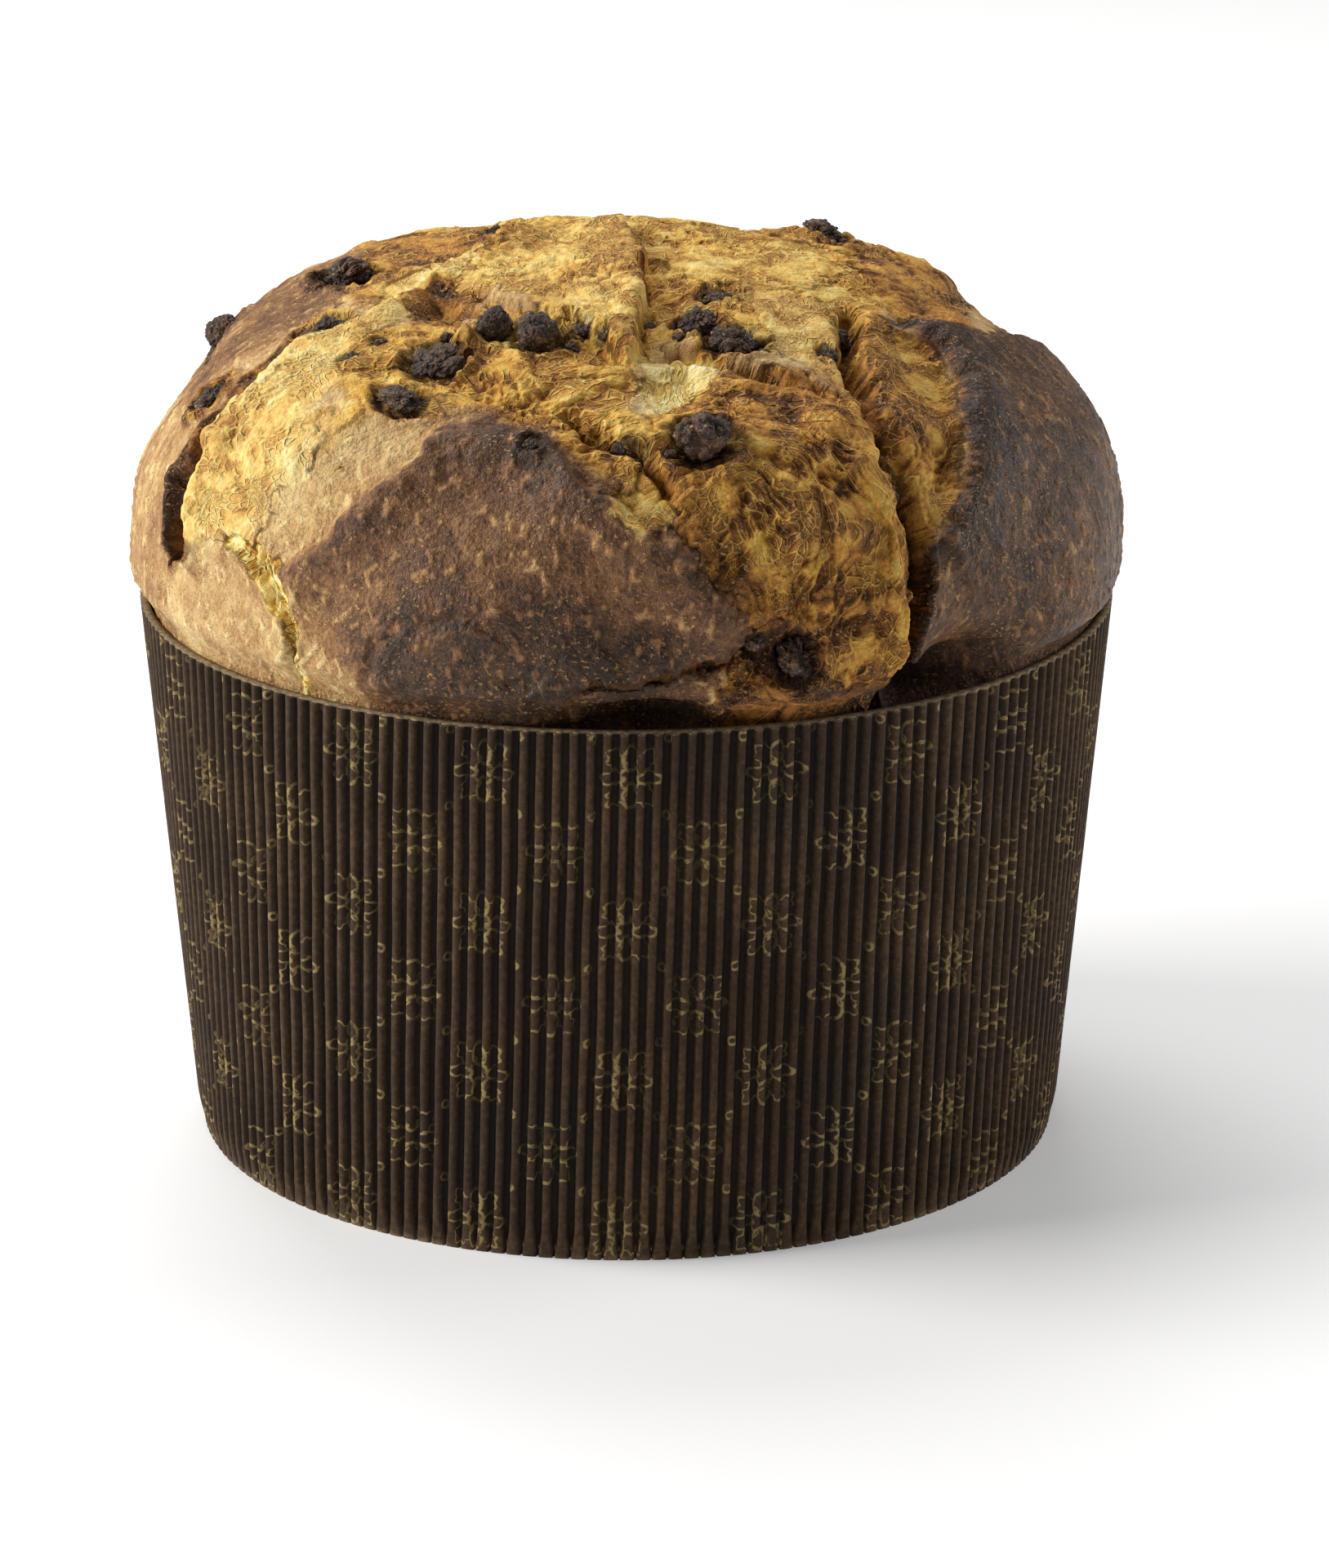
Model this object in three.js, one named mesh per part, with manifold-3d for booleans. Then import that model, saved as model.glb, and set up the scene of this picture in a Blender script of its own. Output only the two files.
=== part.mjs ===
// A panettone in its paper mould: a tall sweet bread whose cross-scored crown has torn open in the
// oven, with lumps of chocolate set in the crust, standing in a flared wall of fluted paper.
// Millimetres, +Z up, origin at the centre of the underside. The front of the loaf faces -Y.
import * as THREE from "three";
import { mergeVertices } from "three/addons/utils/BufferGeometryUtils.js";
import Module from "manifold-3d";

const wasm = await Module();
wasm.setup();

// Paper mould: a 1 kg mould has a base 170 mm across, and the risen loaf has spread its rim.
const BASE_RADIUS = 85;
const RIM_RADIUS = 94.5;
const WALL_HEIGHT = 107.5;
const WALL_THICKNESS = 1.7; // from a flute's crest to the inside of the liner
const FLUTE_DEPTH = 1.2;
const FLUTE_SAG = 0.15; // how far a leaning flute's straight runs may cut inside the wall's curve
const HALF_FLUTES_AT_RIM = 189; // on each side of the wall's middle line
const HALF_FLUTES_AT_BASE = 170;
const STRAIGHT_FLUTE_AZIMUTH = 19; // degrees right of the front, where flutes run straight down
const FOOT_HEIGHT = 5; // the pressed foot of the wall
const FOOT_CREST_INSET = 0.7;
const FOOT_VALLEY_INSET = 1.1;
const LINER_SIDES = 72;
const BASE_THICKNESS = 1;
const BASE_SIDES = 48;
const FIT_GAP = 0.4; // between pieces that touch

// Loaf: a dome on a straight body that fills the mould.
const BELLY_RADIUS = 96.2;
const BELLY_HEIGHT = 115.7;
const CROWN_RISE = 58.2; // from the belly to the crown
const SIDE_POWER = 2.443; // how square the dome's shoulder is, seen from the side
const TOP_POWER = 2.569;
const TUCK_HEIGHT = 108.2; // just over the rim, where the skin has turned in to go down inside
const SKIN_BOTTOM = 95; // below this the loaf is plain
const SKIN_CELLS = 54; // across the crust's grid
const RINGS_INSIDE = 2; // of the grid's rings, those that go down inside the mould
const PROFILE_STEPS = 400;

// The crust is laid out on its skin unrolled about the crown, as [right, front] in millimetres:
// the distance from the crown along the skin, in the direction it has seen from above.
// Swells are the puffed lobes and hollows: centre, half widths, turn in degrees, height.
const SWELLS = [
  { name: "front flap", at: [-25, 107], half: [50, 26], turn: 0, rise: 3.5 },
  { name: "front torn lobe", at: [42, 95], half: [26, 30], turn: 20, rise: 4.5 },
  { name: "right lobe", at: [98, 50], half: [34, 52], turn: -25, rise: 3.5 },
  { name: "pale roll", at: [-62, 57], half: [32, 24], turn: 35, rise: 5 },
  { name: "left lobe", at: [-112, 38], half: [26, 44], turn: 20, rise: 1.2 },
  { name: "left shoulder", at: [-78, -2], half: [22, 20], turn: 0, rise: 1.5 },
  { name: "left of the top", at: [-58, -30], half: [18, 16], turn: 0, rise: 1.6 },
  { name: "left notch", at: [-92, -6], half: [13, 22], turn: 0, rise: -5 },
  { name: "tongue", at: [-11, 18], half: [17, 40], turn: 0, rise: 2 },
  { name: "right of tongue", at: [26, 5], half: [22, 22], turn: 0, rise: 0.5 },
  { name: "right of the top", at: [56, -30], half: [20, 16], turn: 0, rise: 1.6 },
  { name: "right notch", at: [78, -28], half: [16, 24], turn: 10, rise: -6 },
  { name: "pale window", at: [9, 62], half: [9, 10], turn: 0, rise: -3 },
  { name: "chocolate pit", at: [35, 117], half: [11, 6], turn: -12, rise: -6 },
  { name: "rim pit", at: [85, 104], half: [22, 9], turn: -51, rise: -14 },
  { name: "front recess", at: [4, 137], half: [26, 4.5], turn: -4, rise: -7 },
  { name: "cave", at: [-35, 25], half: [6, 8], turn: 0, rise: -6 },
  { name: "back flap", at: [-5, -104], half: [48, 24], turn: 0, rise: 3 },
  { name: "back right lobe", at: [98, -66], half: [26, 36], turn: 30, rise: 2.5 },
  { name: "back left lobe", at: [-98, -72], half: [26, 36], turn: -32, rise: 2.5 },
  { name: "back hollow", at: [18, -52], half: [20, 12], turn: 15, rise: -2.5 },
];

// Tears are lines in the crust. Walking along one, left and right are the lips on each side, which
// stand up by so much and sink back over reach, and depth is the groove between them.
const TEARS = [
  { name: "left crack", line: [[-104, 58], [-97, 55], [-88, 50], [-77, 44]],
    width: 10, depth: 12, left: 1.5, right: 2, reach: 9 },
  { name: "left crack, upper end", line: [[-84, 49], [-76, 44], [-67, 38], [-57, 31]],
    width: 6, depth: 5, left: -0.5, right: 2.5, reach: 9 },
  { name: "left fold", line: [[-60, 34], [-48, 30], [-41, 20], [-34, 5], [-27, -9], [-20, -30]],
    width: 5, depth: 2.5, left: -0.5, right: 2.5, reach: 8 },
  { name: "left seam", line: [[-95, 62], [-84, 71], [-78, 80], [-78, 92], [-82, 98], [-88, 106]],
    width: 4, depth: 1.2, left: 0.5, right: 1, reach: 6 },
  { name: "flap ridge, left", line: [[-77, 83], [-63, 85], [-50, 82], [-40, 77], [-29, 69]],
    width: 5, depth: 0.5, left: 0, right: 3, reach: 9 },
  { name: "flap ridge, right",
    line: [[-29, 69], [-20, 77], [-9, 86], [3, 97], [14, 103], [22, 108], [28, 115]],
    width: 6, depth: 1.5, left: -1, right: 3.5, reach: 10 },
  { name: "flap toe", line: [[28, 115], [22, 121], [8, 125], [-10, 128], [-28, 127]],
    width: 5, depth: 3, left: -1.5, right: 2, reach: 7 },
  { name: "right crack, upper end", line: [[40, 44], [45, 56], [50, 70], [54, 80]],
    width: 8, depth: 4, left: 1, right: 0.5, reach: 7 },
  { name: "right crack",
    line: [[52, 76], [57, 85], [62, 94], [67, 104], [72, 116], [76, 126]],
    width: 7.5, depth: 14, left: 1, right: 1, reach: 7 },
  { name: "right ridge",
    line: [[50, 26], [60, 36], [65, 50], [67, 62], [68, 72], [65, 80], [62, 88]],
    width: 6, depth: 0, left: 3, right: -1.5, reach: 12 },
  { name: "right lobe, top edge", line: [[50, 27], [60, 22], [69, 18], [76, 4], [86, -12]],
    width: 6, depth: 1, left: -1, right: 0.8, reach: 10 },
  { name: "tongue, right edge", line: [[-3, -28], [1, -12], [3, 5], [4, 26], [4, 45], [2, 58]],
    width: 3.5, depth: 3, left: -2, right: 2.4, reach: 9 },
  { name: "tongue, tip", line: [[2, 58], [-4, 53], [-9, 45], [-17, 41], [-25, 34], [-28, 18]],
    width: 4, depth: 2, left: -1.5, right: 2, reach: 7 },
  { name: "shelf", line: [[5, 51], [14, 54], [24, 58], [35, 61]],
    width: 4, depth: 2, left: 1.2, right: -0.5, reach: 5 },
  { name: "inner cleft", line: [[42, 24], [43, 34], [42, 45], [46, 55]],
    width: 7, depth: 6, left: 1, right: 0.5, reach: 6 },
  { name: "middle slit", line: [[-12, 72], [-4, 78], [4, 84], [11, 93]],
    width: 5, depth: 4.5, left: 0.5, right: 0.5, reach: 5 },
  { name: "front wrinkle", line: [[-68, 113], [-50, 109], [-34, 111], [-22, 116]],
    width: 4, depth: 0.7, left: 0.3, right: 0.4, reach: 5 },
  { name: "lower wrinkle", line: [[-70, 118], [-52, 119], [-36, 122], [-16, 124]],
    width: 4, depth: 0.7, left: 0.3, right: 0.3, reach: 5 },
  { name: "back right crack", line: [[66, -16], [76, -34], [88, -46], [96, -62], [110, -82]],
    width: 9, depth: 8, left: 0.8, right: 0.8, reach: 9 },
  { name: "back left crack", line: [[-26, -46], [-38, -62], [-44, -82], [-60, -100], [-66, -122]],
    width: 9, depth: 7, left: 1, right: 1, reach: 9 },
  { name: "back flap ridge", line: [[-30, -76], [-8, -72], [14, -78], [38, -72], [62, -56]],
    width: 6, depth: 1.5, left: 1.8, right: -0.5, reach: 10 },
  { name: "back left ridge", line: [[-100, -48], [-84, -56], [-70, -52], [-58, -62]],
    width: 6, depth: 1, left: -0.5, right: 2, reach: 10 },
];
const DEEP_TEAR = 4; // the grid is drawn onto the floor of tears at least this deep
const TEAR_END_FADE = 0.14; // share of a tear's length over which each end runs out
const TEAR_STEPS = 28;

// Chocolate lumps: where on the skin, half sizes across, along and out, and how far the middle
// stands clear of the crust.
const LUMPS = [
  { at: [-24.2, 43.5], half: [3.8, 3.8, 5], lift: 1.6 },
  { at: [-16.4, 49], half: [4.4, 4, 4.2], lift: 1.6 },
  { at: [15, 79.5], half: [5.6, 5, 5.5], lift: 0.8 },
  { at: [13.4, 41.5], half: [4, 3.8, 3], lift: 0.2 },
  { at: [20.4, 48.2], half: [4.6, 3.6, 2.8], lift: 0 },
  { at: [-35, 53], half: [5.2, 5, 2.4], lift: -0.2 },
  { at: [-41.5, 64], half: [5, 2.6, 2], lift: -0.2 },
  { at: [-57.8, 27.5], half: [4.2, 4.4, 2.6], lift: -0.8 },
  { at: [-82, 31.5], half: [4, 4, 2.6], lift: -0.8 },
  { at: [-54, -3], half: [5, 5, 3.2], lift: 0 },
  { at: [-83, -14], half: [3.8, 4.4, 4], lift: 0.8 },
  { at: [39, -30], half: [5.5, 4, 2.8], lift: 0 },
  { at: [40.5, 117], half: [3.6, 4.6, 3], lift: -0.4 },
  { at: [58.5, 87], half: [3, 4.5, 3.4], lift: 4 },
  { at: [-50, -90], half: [5, 4.5, 3.4], lift: 0.2 },
  { at: [24, -92], half: [4.5, 5, 3.4], lift: 0.2 },
  { at: [104, -40], half: [4, 5, 3.4], lift: -0.4 },
];
const LUMP_ROUGHNESS = 0.16;
const LUMP_SEED = 7;

const PAPER = new THREE.MeshStandardMaterial({ color: 0x2c2118, roughness: 0.8, metalness: 0 });
const CRUST = new THREE.MeshStandardMaterial({ color: 0x9a6a35, roughness: 0.75, metalness: 0 });
const CHOCOLATE = new THREE.MeshStandardMaterial({ color: 0x2a1c16, roughness: 0.5, metalness: 0 });

const smooth = (low, high, x) => THREE.MathUtils.smoothstep(x, low, high);
const mix = THREE.MathUtils.lerp;

function random(seed) {
  let state = seed;
  return () => {
    state = (state * 16807) % 2147483647;
    return state / 2147483647;
  };
}

const wallRadius = (z) => mix(BASE_RADIUS, RIM_RADIUS, z / WALL_HEIGHT);
const loafRadius = (z) => wallRadius(z) - WALL_THICKNESS - FIT_GAP;

// Solids: three.js geometry to a manifold and back, for cutting one piece from another.
function solidOf(geometry) {
  const bare = geometry.clone();
  bare.deleteAttribute("normal");
  bare.deleteAttribute("uv");
  const merged = mergeVertices(bare, 1e-4);
  const corners = [];
  const index = merged.index.array;
  for (let i = 0; i < index.length; i += 3) {
    const [a, b, c] = [index[i], index[i + 1], index[i + 2]];
    if (a !== b && b !== c && c !== a) corners.push(a, b, c);
  }
  return new wasm.Manifold(
    new wasm.Mesh({
      numProp: 3,
      vertProperties: merged.attributes.position.array,
      triVerts: new Uint32Array(corners),
    }),
  );
}

function geometryOf(solid) {
  const mesh = solid.getMesh();
  const geometry = new THREE.BufferGeometry();
  geometry.setAttribute("position", new THREE.BufferAttribute(mesh.vertProperties, 3));
  geometry.setIndex(new THREE.BufferAttribute(mesh.triVerts, 1));
  geometry.computeVertexNormals();
  return geometry;
}

function meshGeometry(points, corners) {
  const geometry = new THREE.BufferGeometry();
  geometry.setAttribute("position", new THREE.Float32BufferAttribute(points, 3));
  geometry.setIndex(corners);
  return geometry;
}

function turned(profile, sides) {
  const points = profile.map(([radius, z]) => new THREE.Vector2(radius, z));
  return new THREE.LatheGeometry(points, sides).rotateX(Math.PI / 2);
}

// Paper wall. Its sheet is cut as part of a ring, and the flutes run parallel on the flat sheet, so
// on the flared wall they lean more and more away from the middle line and meet in a V at the seam.
function paperWall() {
  const slant = Math.hypot(WALL_HEIGHT, RIM_RADIUS - BASE_RADIUS);
  const flare = (RIM_RADIUS - BASE_RADIUS) / slant;
  const halfSheet = Math.PI * flare; // half the flat sheet's angle about its centre
  const halfPitch = ((RIM_RADIUS / flare) * Math.sin(halfSheet)) / HALF_FLUTES_AT_RIM;
  const flutesLost = HALF_FLUTES_AT_RIM - HALF_FLUTES_AT_BASE;

  const lineAt = (line, z) => {
    const radius = wallRadius(z);
    const onSheet = Math.asin(Math.min(1, Math.abs(line * halfPitch) / (radius / flare)));
    const azimuth = (Math.sign(line) * onSheet) / flare + (STRAIGHT_FLUTE_AZIMUTH * Math.PI) / 180;
    const crest = line % 2 === 0;
    const footInset = crest ? FOOT_CREST_INSET : FOOT_VALLEY_INSET;
    const inset = z < FOOT_HEIGHT ? footInset : crest ? 0 : FLUTE_DEPTH;
    return [(radius - inset) * Math.sin(azimuth), -(radius - inset) * Math.cos(azimuth), z];
  };

  // The heights at which a line has corners: where it starts, the foot, and enough to keep the curve.
  const heightsOf = (line) => {
    const past = Math.max(0, Math.abs(line) - HALF_FLUTES_AT_BASE);
    const lowest = (WALL_HEIGHT * past) / flutesLost; // where this line has run into the seam
    const foot = Math.max(FOOT_HEIGHT, lowest);
    const [[x0, y0], [x1, y1]] = [lineAt(line, foot), lineAt(line, WALL_HEIGHT)];
    const turn = Math.atan2(x0 * y1 - y0 * x1, x0 * x1 + y0 * y1);
    const runs = Math.max(1, Math.ceil(Math.sqrt((RIM_RADIUS * turn * turn) / 8 / FLUTE_SAG)));
    const heights = lowest < FOOT_HEIGHT ? [lowest] : [];
    for (let run = 0; run <= runs; run++) heights.push(mix(foot, WALL_HEIGHT, run / runs));
    return heights;
  };

  const points = [];
  const corners = [];
  const lines = [];
  for (let line = -HALF_FLUTES_AT_RIM; line < HALF_FLUTES_AT_RIM; line++) {
    lines.push({ heights: heightsOf(line), first: points.length / 3 });
    for (const z of heightsOf(line)) points.push(...lineAt(line, z));
  }
  const underside = points.length / 3;
  points.push(0, 0, 0, 0, 0, WALL_HEIGHT);
  lines.forEach((a, i) => {
    const b = lines[(i + 1) % lines.length];
    let [low, high] = [0, 0];
    while (low < a.heights.length - 1 || high < b.heights.length - 1) {
      const onLeft = high === b.heights.length - 1 || a.heights[low + 1] < b.heights[high + 1];
      const corner = onLeft ? a.first + low + 1 : b.first + high + 1;
      corners.push(a.first + low, b.first + high, corner);
      if (onLeft) low++;
      else high++;
    }
    corners.push(underside + 1, a.first + low, b.first + high);
    corners.push(underside, b.first, a.first);
  });
  const liner = (z) => [wallRadius(z) - WALL_THICKNESS, z];
  const inside = turned([[0, -1], liner(-1), liner(WALL_HEIGHT + 1), [0, WALL_HEIGHT + 1]], LINER_SIDES);
  return geometryOf(solidOf(meshGeometry(points, corners)).subtract(solidOf(inside)));
}

function paperBase() {
  const radius = BASE_RADIUS - WALL_THICKNESS - FIT_GAP;
  return turned([[0, 0], [radius, 0], [radius, BASE_THICKNESS], [0, BASE_THICKNESS]], BASE_SIDES);
}

// The loaf's smooth profile, from the crown down to where the plain body starts, with the distance
// along the skin at each point.
function skinProfile() {
  const profile = [];
  for (let i = 0; i <= PROFILE_STEPS; i++) {
    const t = (Math.PI / 2) * (1 - i / PROFILE_STEPS);
    const radius = BELLY_RADIUS * Math.cos(t) ** (2 / SIDE_POWER);
    profile.push({ radius, z: BELLY_HEIGHT + CROWN_RISE * Math.sin(t) ** (2 / TOP_POWER) });
  }
  for (let i = 1; i <= PROFILE_STEPS; i++) {
    const z = mix(BELLY_HEIGHT, SKIN_BOTTOM, i / PROFILE_STEPS);
    const tucked = 1 - smooth(TUCK_HEIGHT, BELLY_HEIGHT, z);
    profile.push({ radius: mix(BELLY_RADIUS, loafRadius(z), tucked), z });
  }
  profile[0].along = 0;
  for (let i = 1; i < profile.length; i++) {
    const [a, b] = [profile[i - 1], profile[i]];
    b.along = a.along + Math.hypot(b.radius - a.radius, b.z - a.z);
  }
  return profile;
}

const SKIN = skinProfile();
const SKIN_REACH = SKIN[SKIN.length - 1].along;
const TUCK_REACH = SKIN.find(({ z }) => z <= TUCK_HEIGHT).along;

// The smooth skin at a distance from the crown: radius, height and the outward normal.
function skinAt(along) {
  const found = SKIN.findIndex((point) => point.along >= along);
  const i = found < 1 ? (found === 0 ? 1 : SKIN.length - 1) : found;
  const [a, b] = [SKIN[i - 1], SKIN[i]];
  const share = (along - a.along) / (b.along - a.along);
  const run = [b.radius - a.radius, b.z - a.z];
  const length = Math.hypot(...run);
  return {
    radius: mix(a.radius, b.radius, share),
    z: mix(a.z, b.z, share),
    out: -run[1] / length,
    up: run[0] / length,
  };
}

for (const tear of TEARS) {
  const curve = new THREE.SplineCurve(tear.line.map(([right, front]) => new THREE.Vector2(right, front)));
  tear.points = curve.getPoints(TEAR_STEPS);
}

// The nearest place on a tear: signed distance, positive on its left, its share along, and the point.
function nearestOnTear(tear, right, front) {
  let best = { distance: Infinity };
  for (let i = 1; i < tear.points.length; i++) {
    const [a, b] = [tear.points[i - 1], tear.points[i]];
    const [dx, dy] = [b.x - a.x, b.y - a.y];
    const share = Math.min(1, Math.max(0, ((right - a.x) * dx + (front - a.y) * dy) / (dx * dx + dy * dy)));
    const [x, y] = [a.x + dx * share, a.y + dy * share];
    const distance = Math.hypot(right - x, front - y);
    if (distance < Math.abs(best.distance)) {
      const side = Math.sign(dy * (right - x) - dx * (front - y)) || 1;
      best = { distance: side * distance, share: (i - 1 + share) / (tear.points.length - 1), x, y };
    }
  }
  return best;
}

// How far the crust stands out from the smooth skin.
function relief(right, front) {
  let height = 0;
  for (const { at, half, turn, rise } of SWELLS) {
    const angle = (turn * Math.PI) / 180;
    const [dx, dy] = [right - at[0], front - at[1]];
    const across = (dx * Math.cos(angle) + dy * Math.sin(angle)) / half[0];
    const along = (dy * Math.cos(angle) - dx * Math.sin(angle)) / half[1];
    height += rise * Math.exp(-1.4 * (across * across + along * along));
  }
  for (const tear of TEARS) {
    const { distance, share } = nearestOnTear(tear, right, front);
    const half = tear.width / 2;
    const ends = smooth(0, TEAR_END_FADE, share) * smooth(0, TEAR_END_FADE, 1 - share);
    const lip = mix(tear.right, tear.left, smooth(-half, half, distance));
    const beyond = Math.max(0, Math.abs(distance) - half) / tear.reach;
    height += ends * lip * Math.exp(-beyond * beyond * 2);
    height -= ends * tear.depth * (1 - smooth(0, half, Math.abs(distance)));
  }
  return height;
}

// A point of the crust. Inside the mould the crust may only draw back from the paper.
function crustPoint(right, front, lift = 0) {
  const along = Math.hypot(right, front);
  const { radius, z, out, up } = skinAt(along);
  const free = smooth(WALL_HEIGHT + 1, BELLY_HEIGHT, z);
  const raw = relief(right, front);
  const sunk = Math.min(0, raw) * smooth(SKIN_BOTTOM, WALL_HEIGHT, z);
  const height = mix(sunk, raw, free) + lift;
  const [x, y] = along > 0 ? [right / along, -front / along] : [0, 0];
  const reach = radius + out * height;
  return new THREE.Vector3(x * reach, y * reach, z + up * height);
}

// A square grid point laid on a disc, ring by ring.
function squareToDisc(x, y) {
  const ring = Math.max(Math.abs(x), Math.abs(y));
  if (ring === 0) return [0, 0];
  const angle = Math.abs(x) > Math.abs(y) ? (y / x) * (Math.PI / 4) : Math.PI / 2 - (x / y) * (Math.PI / 4);
  const sign = Math.abs(x) > Math.abs(y) ? Math.sign(x) : Math.sign(y);
  return [sign * ring * Math.cos(angle), sign * ring * Math.sin(angle)];
}

// How far along the skin a ring of the grid lies, so that one ring meets the tuck over the rim.
function ringReach(ring) {
  const open = 1 - (2 * RINGS_INSIDE) / SKIN_CELLS;
  if (ring <= open) return (TUCK_REACH * ring) / open;
  return mix(TUCK_REACH, SKIN_REACH, (ring - open) / (1 - open));
}

function drawnToTears(right, front) {
  const cell = (2 * SKIN_REACH) / SKIN_CELLS;
  for (const tear of TEARS) {
    if (tear.depth < DEEP_TEAR) continue;
    const near = nearestOnTear(tear, right, front);
    const inside = near.share > 0 && near.share < 1;
    if (inside && Math.abs(near.distance) < cell / 2) return [near.x, near.y];
  }
  return [right, front];
}

function loaf() {
  const grid = new THREE.PlaneGeometry(2, 2, SKIN_CELLS, SKIN_CELLS);
  const flat = grid.attributes.position;
  const points = [];
  const places = [];
  for (let i = 0; i < flat.count; i++) {
    const [x, y] = squareToDisc(flat.getX(i), flat.getY(i));
    const ring = Math.hypot(x, y);
    const reach = ring > 0 ? ringReach(ring) / ring : 0;
    const place = [x * reach, -y * reach];
    const inside = ring > 1 - (2 * RINGS_INSIDE + 1) / SKIN_CELLS;
    places.push(inside ? place : drawnToTears(...place));
    points.push(...crustPoint(...places[i]));
  }

  // Each square of the grid is split along whichever diagonal lies nearer to the crust.
  const side = SKIN_CELLS;
  const row = side + 1;
  const corners = [];
  const missBy = (a, b) => {
    const [[u0, v0], [u1, v1]] = [places[a], places[b]];
    const middle = crustPoint((u0 + u1) / 2, (v0 + v1) / 2);
    const chord = [0, 1, 2].map((k) => (points[3 * a + k] + points[3 * b + k]) / 2);
    return middle.distanceTo(new THREE.Vector3(...chord));
  };
  for (let i = 0; i < side; i++) {
    for (let j = 0; j < side; j++) {
      const [a, b] = [i * row + j, i * row + j + 1];
      const [c, d] = [b + row, a + row];
      if (missBy(a, c) < missBy(b, d)) corners.push(a, c, b, a, d, c);
      else corners.push(a, d, b, b, d, c);
    }
  }

  // The body under the crust goes round the grid's edge, clockwise from above, and down.
  const edge = [];
  for (let i = 0; i < side; i++) edge[i] = i;
  for (let i = 0; i < side; i++) edge[side + i] = i * row + side;
  for (let i = 0; i < side; i++) edge[2 * side + i] = side * row + side - i;
  for (let i = 0; i < side; i++) edge[3 * side + i] = (side - i) * row;
  const floor = BASE_THICKNESS + FIT_GAP;
  const lower = edge.map((corner, i) => points.length / 3 + i);
  for (const corner of edge) {
    const azimuth = Math.atan2(points[corner * 3], -points[corner * 3 + 1]);
    const radius = loafRadius(floor);
    points.push(radius * Math.sin(azimuth), -radius * Math.cos(azimuth), floor);
  }
  for (let i = 0; i < edge.length; i++) {
    const next = (i + 1) % edge.length;
    corners.push(edge[i], edge[next], lower[next], edge[i], lower[next], lower[i]);
  }
  const middle = points.length / 3;
  points.push(0, 0, floor);
  for (let i = 0; i < edge.length; i++) corners.push(middle, lower[i], lower[(i + 1) % edge.length]);
  return solidOf(meshGeometry(points, corners));
}

// A craggy lump of chocolate, lying on the crust, swollen all round by a clearance.
function chocolateLump({ at, half, lift }, seed, clearance) {
  const draw = random(seed);
  const geometry = mergeVertices(
    new THREE.IcosahedronGeometry(1, 1).deleteAttribute("normal").deleteAttribute("uv"),
    1e-4,
  );
  const position = geometry.attributes.position;
  const centre = crustPoint(at[0], at[1], lift);
  const outward = crustPoint(at[0], at[1], lift + 1).sub(centre).normalize();
  const across = new THREE.Vector3(0, 0, 1).cross(outward).normalize();
  const along = new THREE.Vector3().crossVectors(outward, across);
  const frame = new THREE.Matrix4().makeBasis(across, along, outward).setPosition(centre);
  for (let i = 0; i < position.count; i++) {
    const corner = new THREE.Vector3().fromBufferAttribute(position, i);
    const rough = 1 + LUMP_ROUGHNESS * (2 * draw() - 1);
    const swollen = half.map((size) => size * rough + clearance);
    corner.multiply(new THREE.Vector3(...swollen)).applyMatrix4(frame);
    position.setXYZ(i, ...corner);
  }
  return geometry;
}

const panettone = new THREE.Group();

function addPiece(name, geometry, material) {
  const mesh = new THREE.Mesh(geometry, material);
  mesh.name = name;
  panettone.add(mesh);
}

let bread = loaf();
LUMPS.forEach((lump, i) => {
  const name = "chocolate_" + String(i + 1).padStart(2, "0");
  addPiece(name, chocolateLump(lump, LUMP_SEED + i, 0), CHOCOLATE);
  bread = bread.subtract(solidOf(chocolateLump(lump, LUMP_SEED + i, FIT_GAP)));
});
addPiece("bread", geometryOf(bread), CRUST);
addPiece("paper_wall", paperWall(), PAPER);
addPiece("paper_base", paperBase(), PAPER);

export default panettone;
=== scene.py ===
import math

import bmesh
import bpy
import numpy as np
from mathutils import Matrix, Vector


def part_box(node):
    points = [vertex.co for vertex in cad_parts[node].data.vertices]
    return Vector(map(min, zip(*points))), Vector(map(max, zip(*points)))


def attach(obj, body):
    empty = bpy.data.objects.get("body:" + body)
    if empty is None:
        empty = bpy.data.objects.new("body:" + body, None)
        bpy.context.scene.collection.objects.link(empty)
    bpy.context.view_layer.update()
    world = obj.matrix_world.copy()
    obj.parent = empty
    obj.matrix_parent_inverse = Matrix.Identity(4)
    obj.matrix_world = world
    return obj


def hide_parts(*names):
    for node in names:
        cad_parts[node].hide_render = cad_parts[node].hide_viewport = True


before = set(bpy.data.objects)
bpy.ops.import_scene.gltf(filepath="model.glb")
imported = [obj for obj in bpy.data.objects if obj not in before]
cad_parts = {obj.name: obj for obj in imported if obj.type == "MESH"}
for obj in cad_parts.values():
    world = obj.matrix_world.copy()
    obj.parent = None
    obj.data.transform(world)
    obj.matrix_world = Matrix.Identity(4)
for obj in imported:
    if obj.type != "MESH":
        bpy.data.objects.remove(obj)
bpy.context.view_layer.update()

MM = 0.001

# The mould, read from the frame.
wall_low, wall_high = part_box("paper_wall")
RIM_RADIUS = wall_high.x / MM
WALL_HEIGHT = wall_high.z / MM
BASE_RADIUS = RIM_RADIUS * 170 / 189
WALL_THICKNESS = 1.7
FLUTE_DEPTH = 1.5
HALF_FLUTES_AT_RIM = 189
HALF_FLUTES_AT_BASE = 170
STRAIGHT_FLUTE = math.radians(19)
COLUMNS_PER_FLUTE = 10

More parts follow.
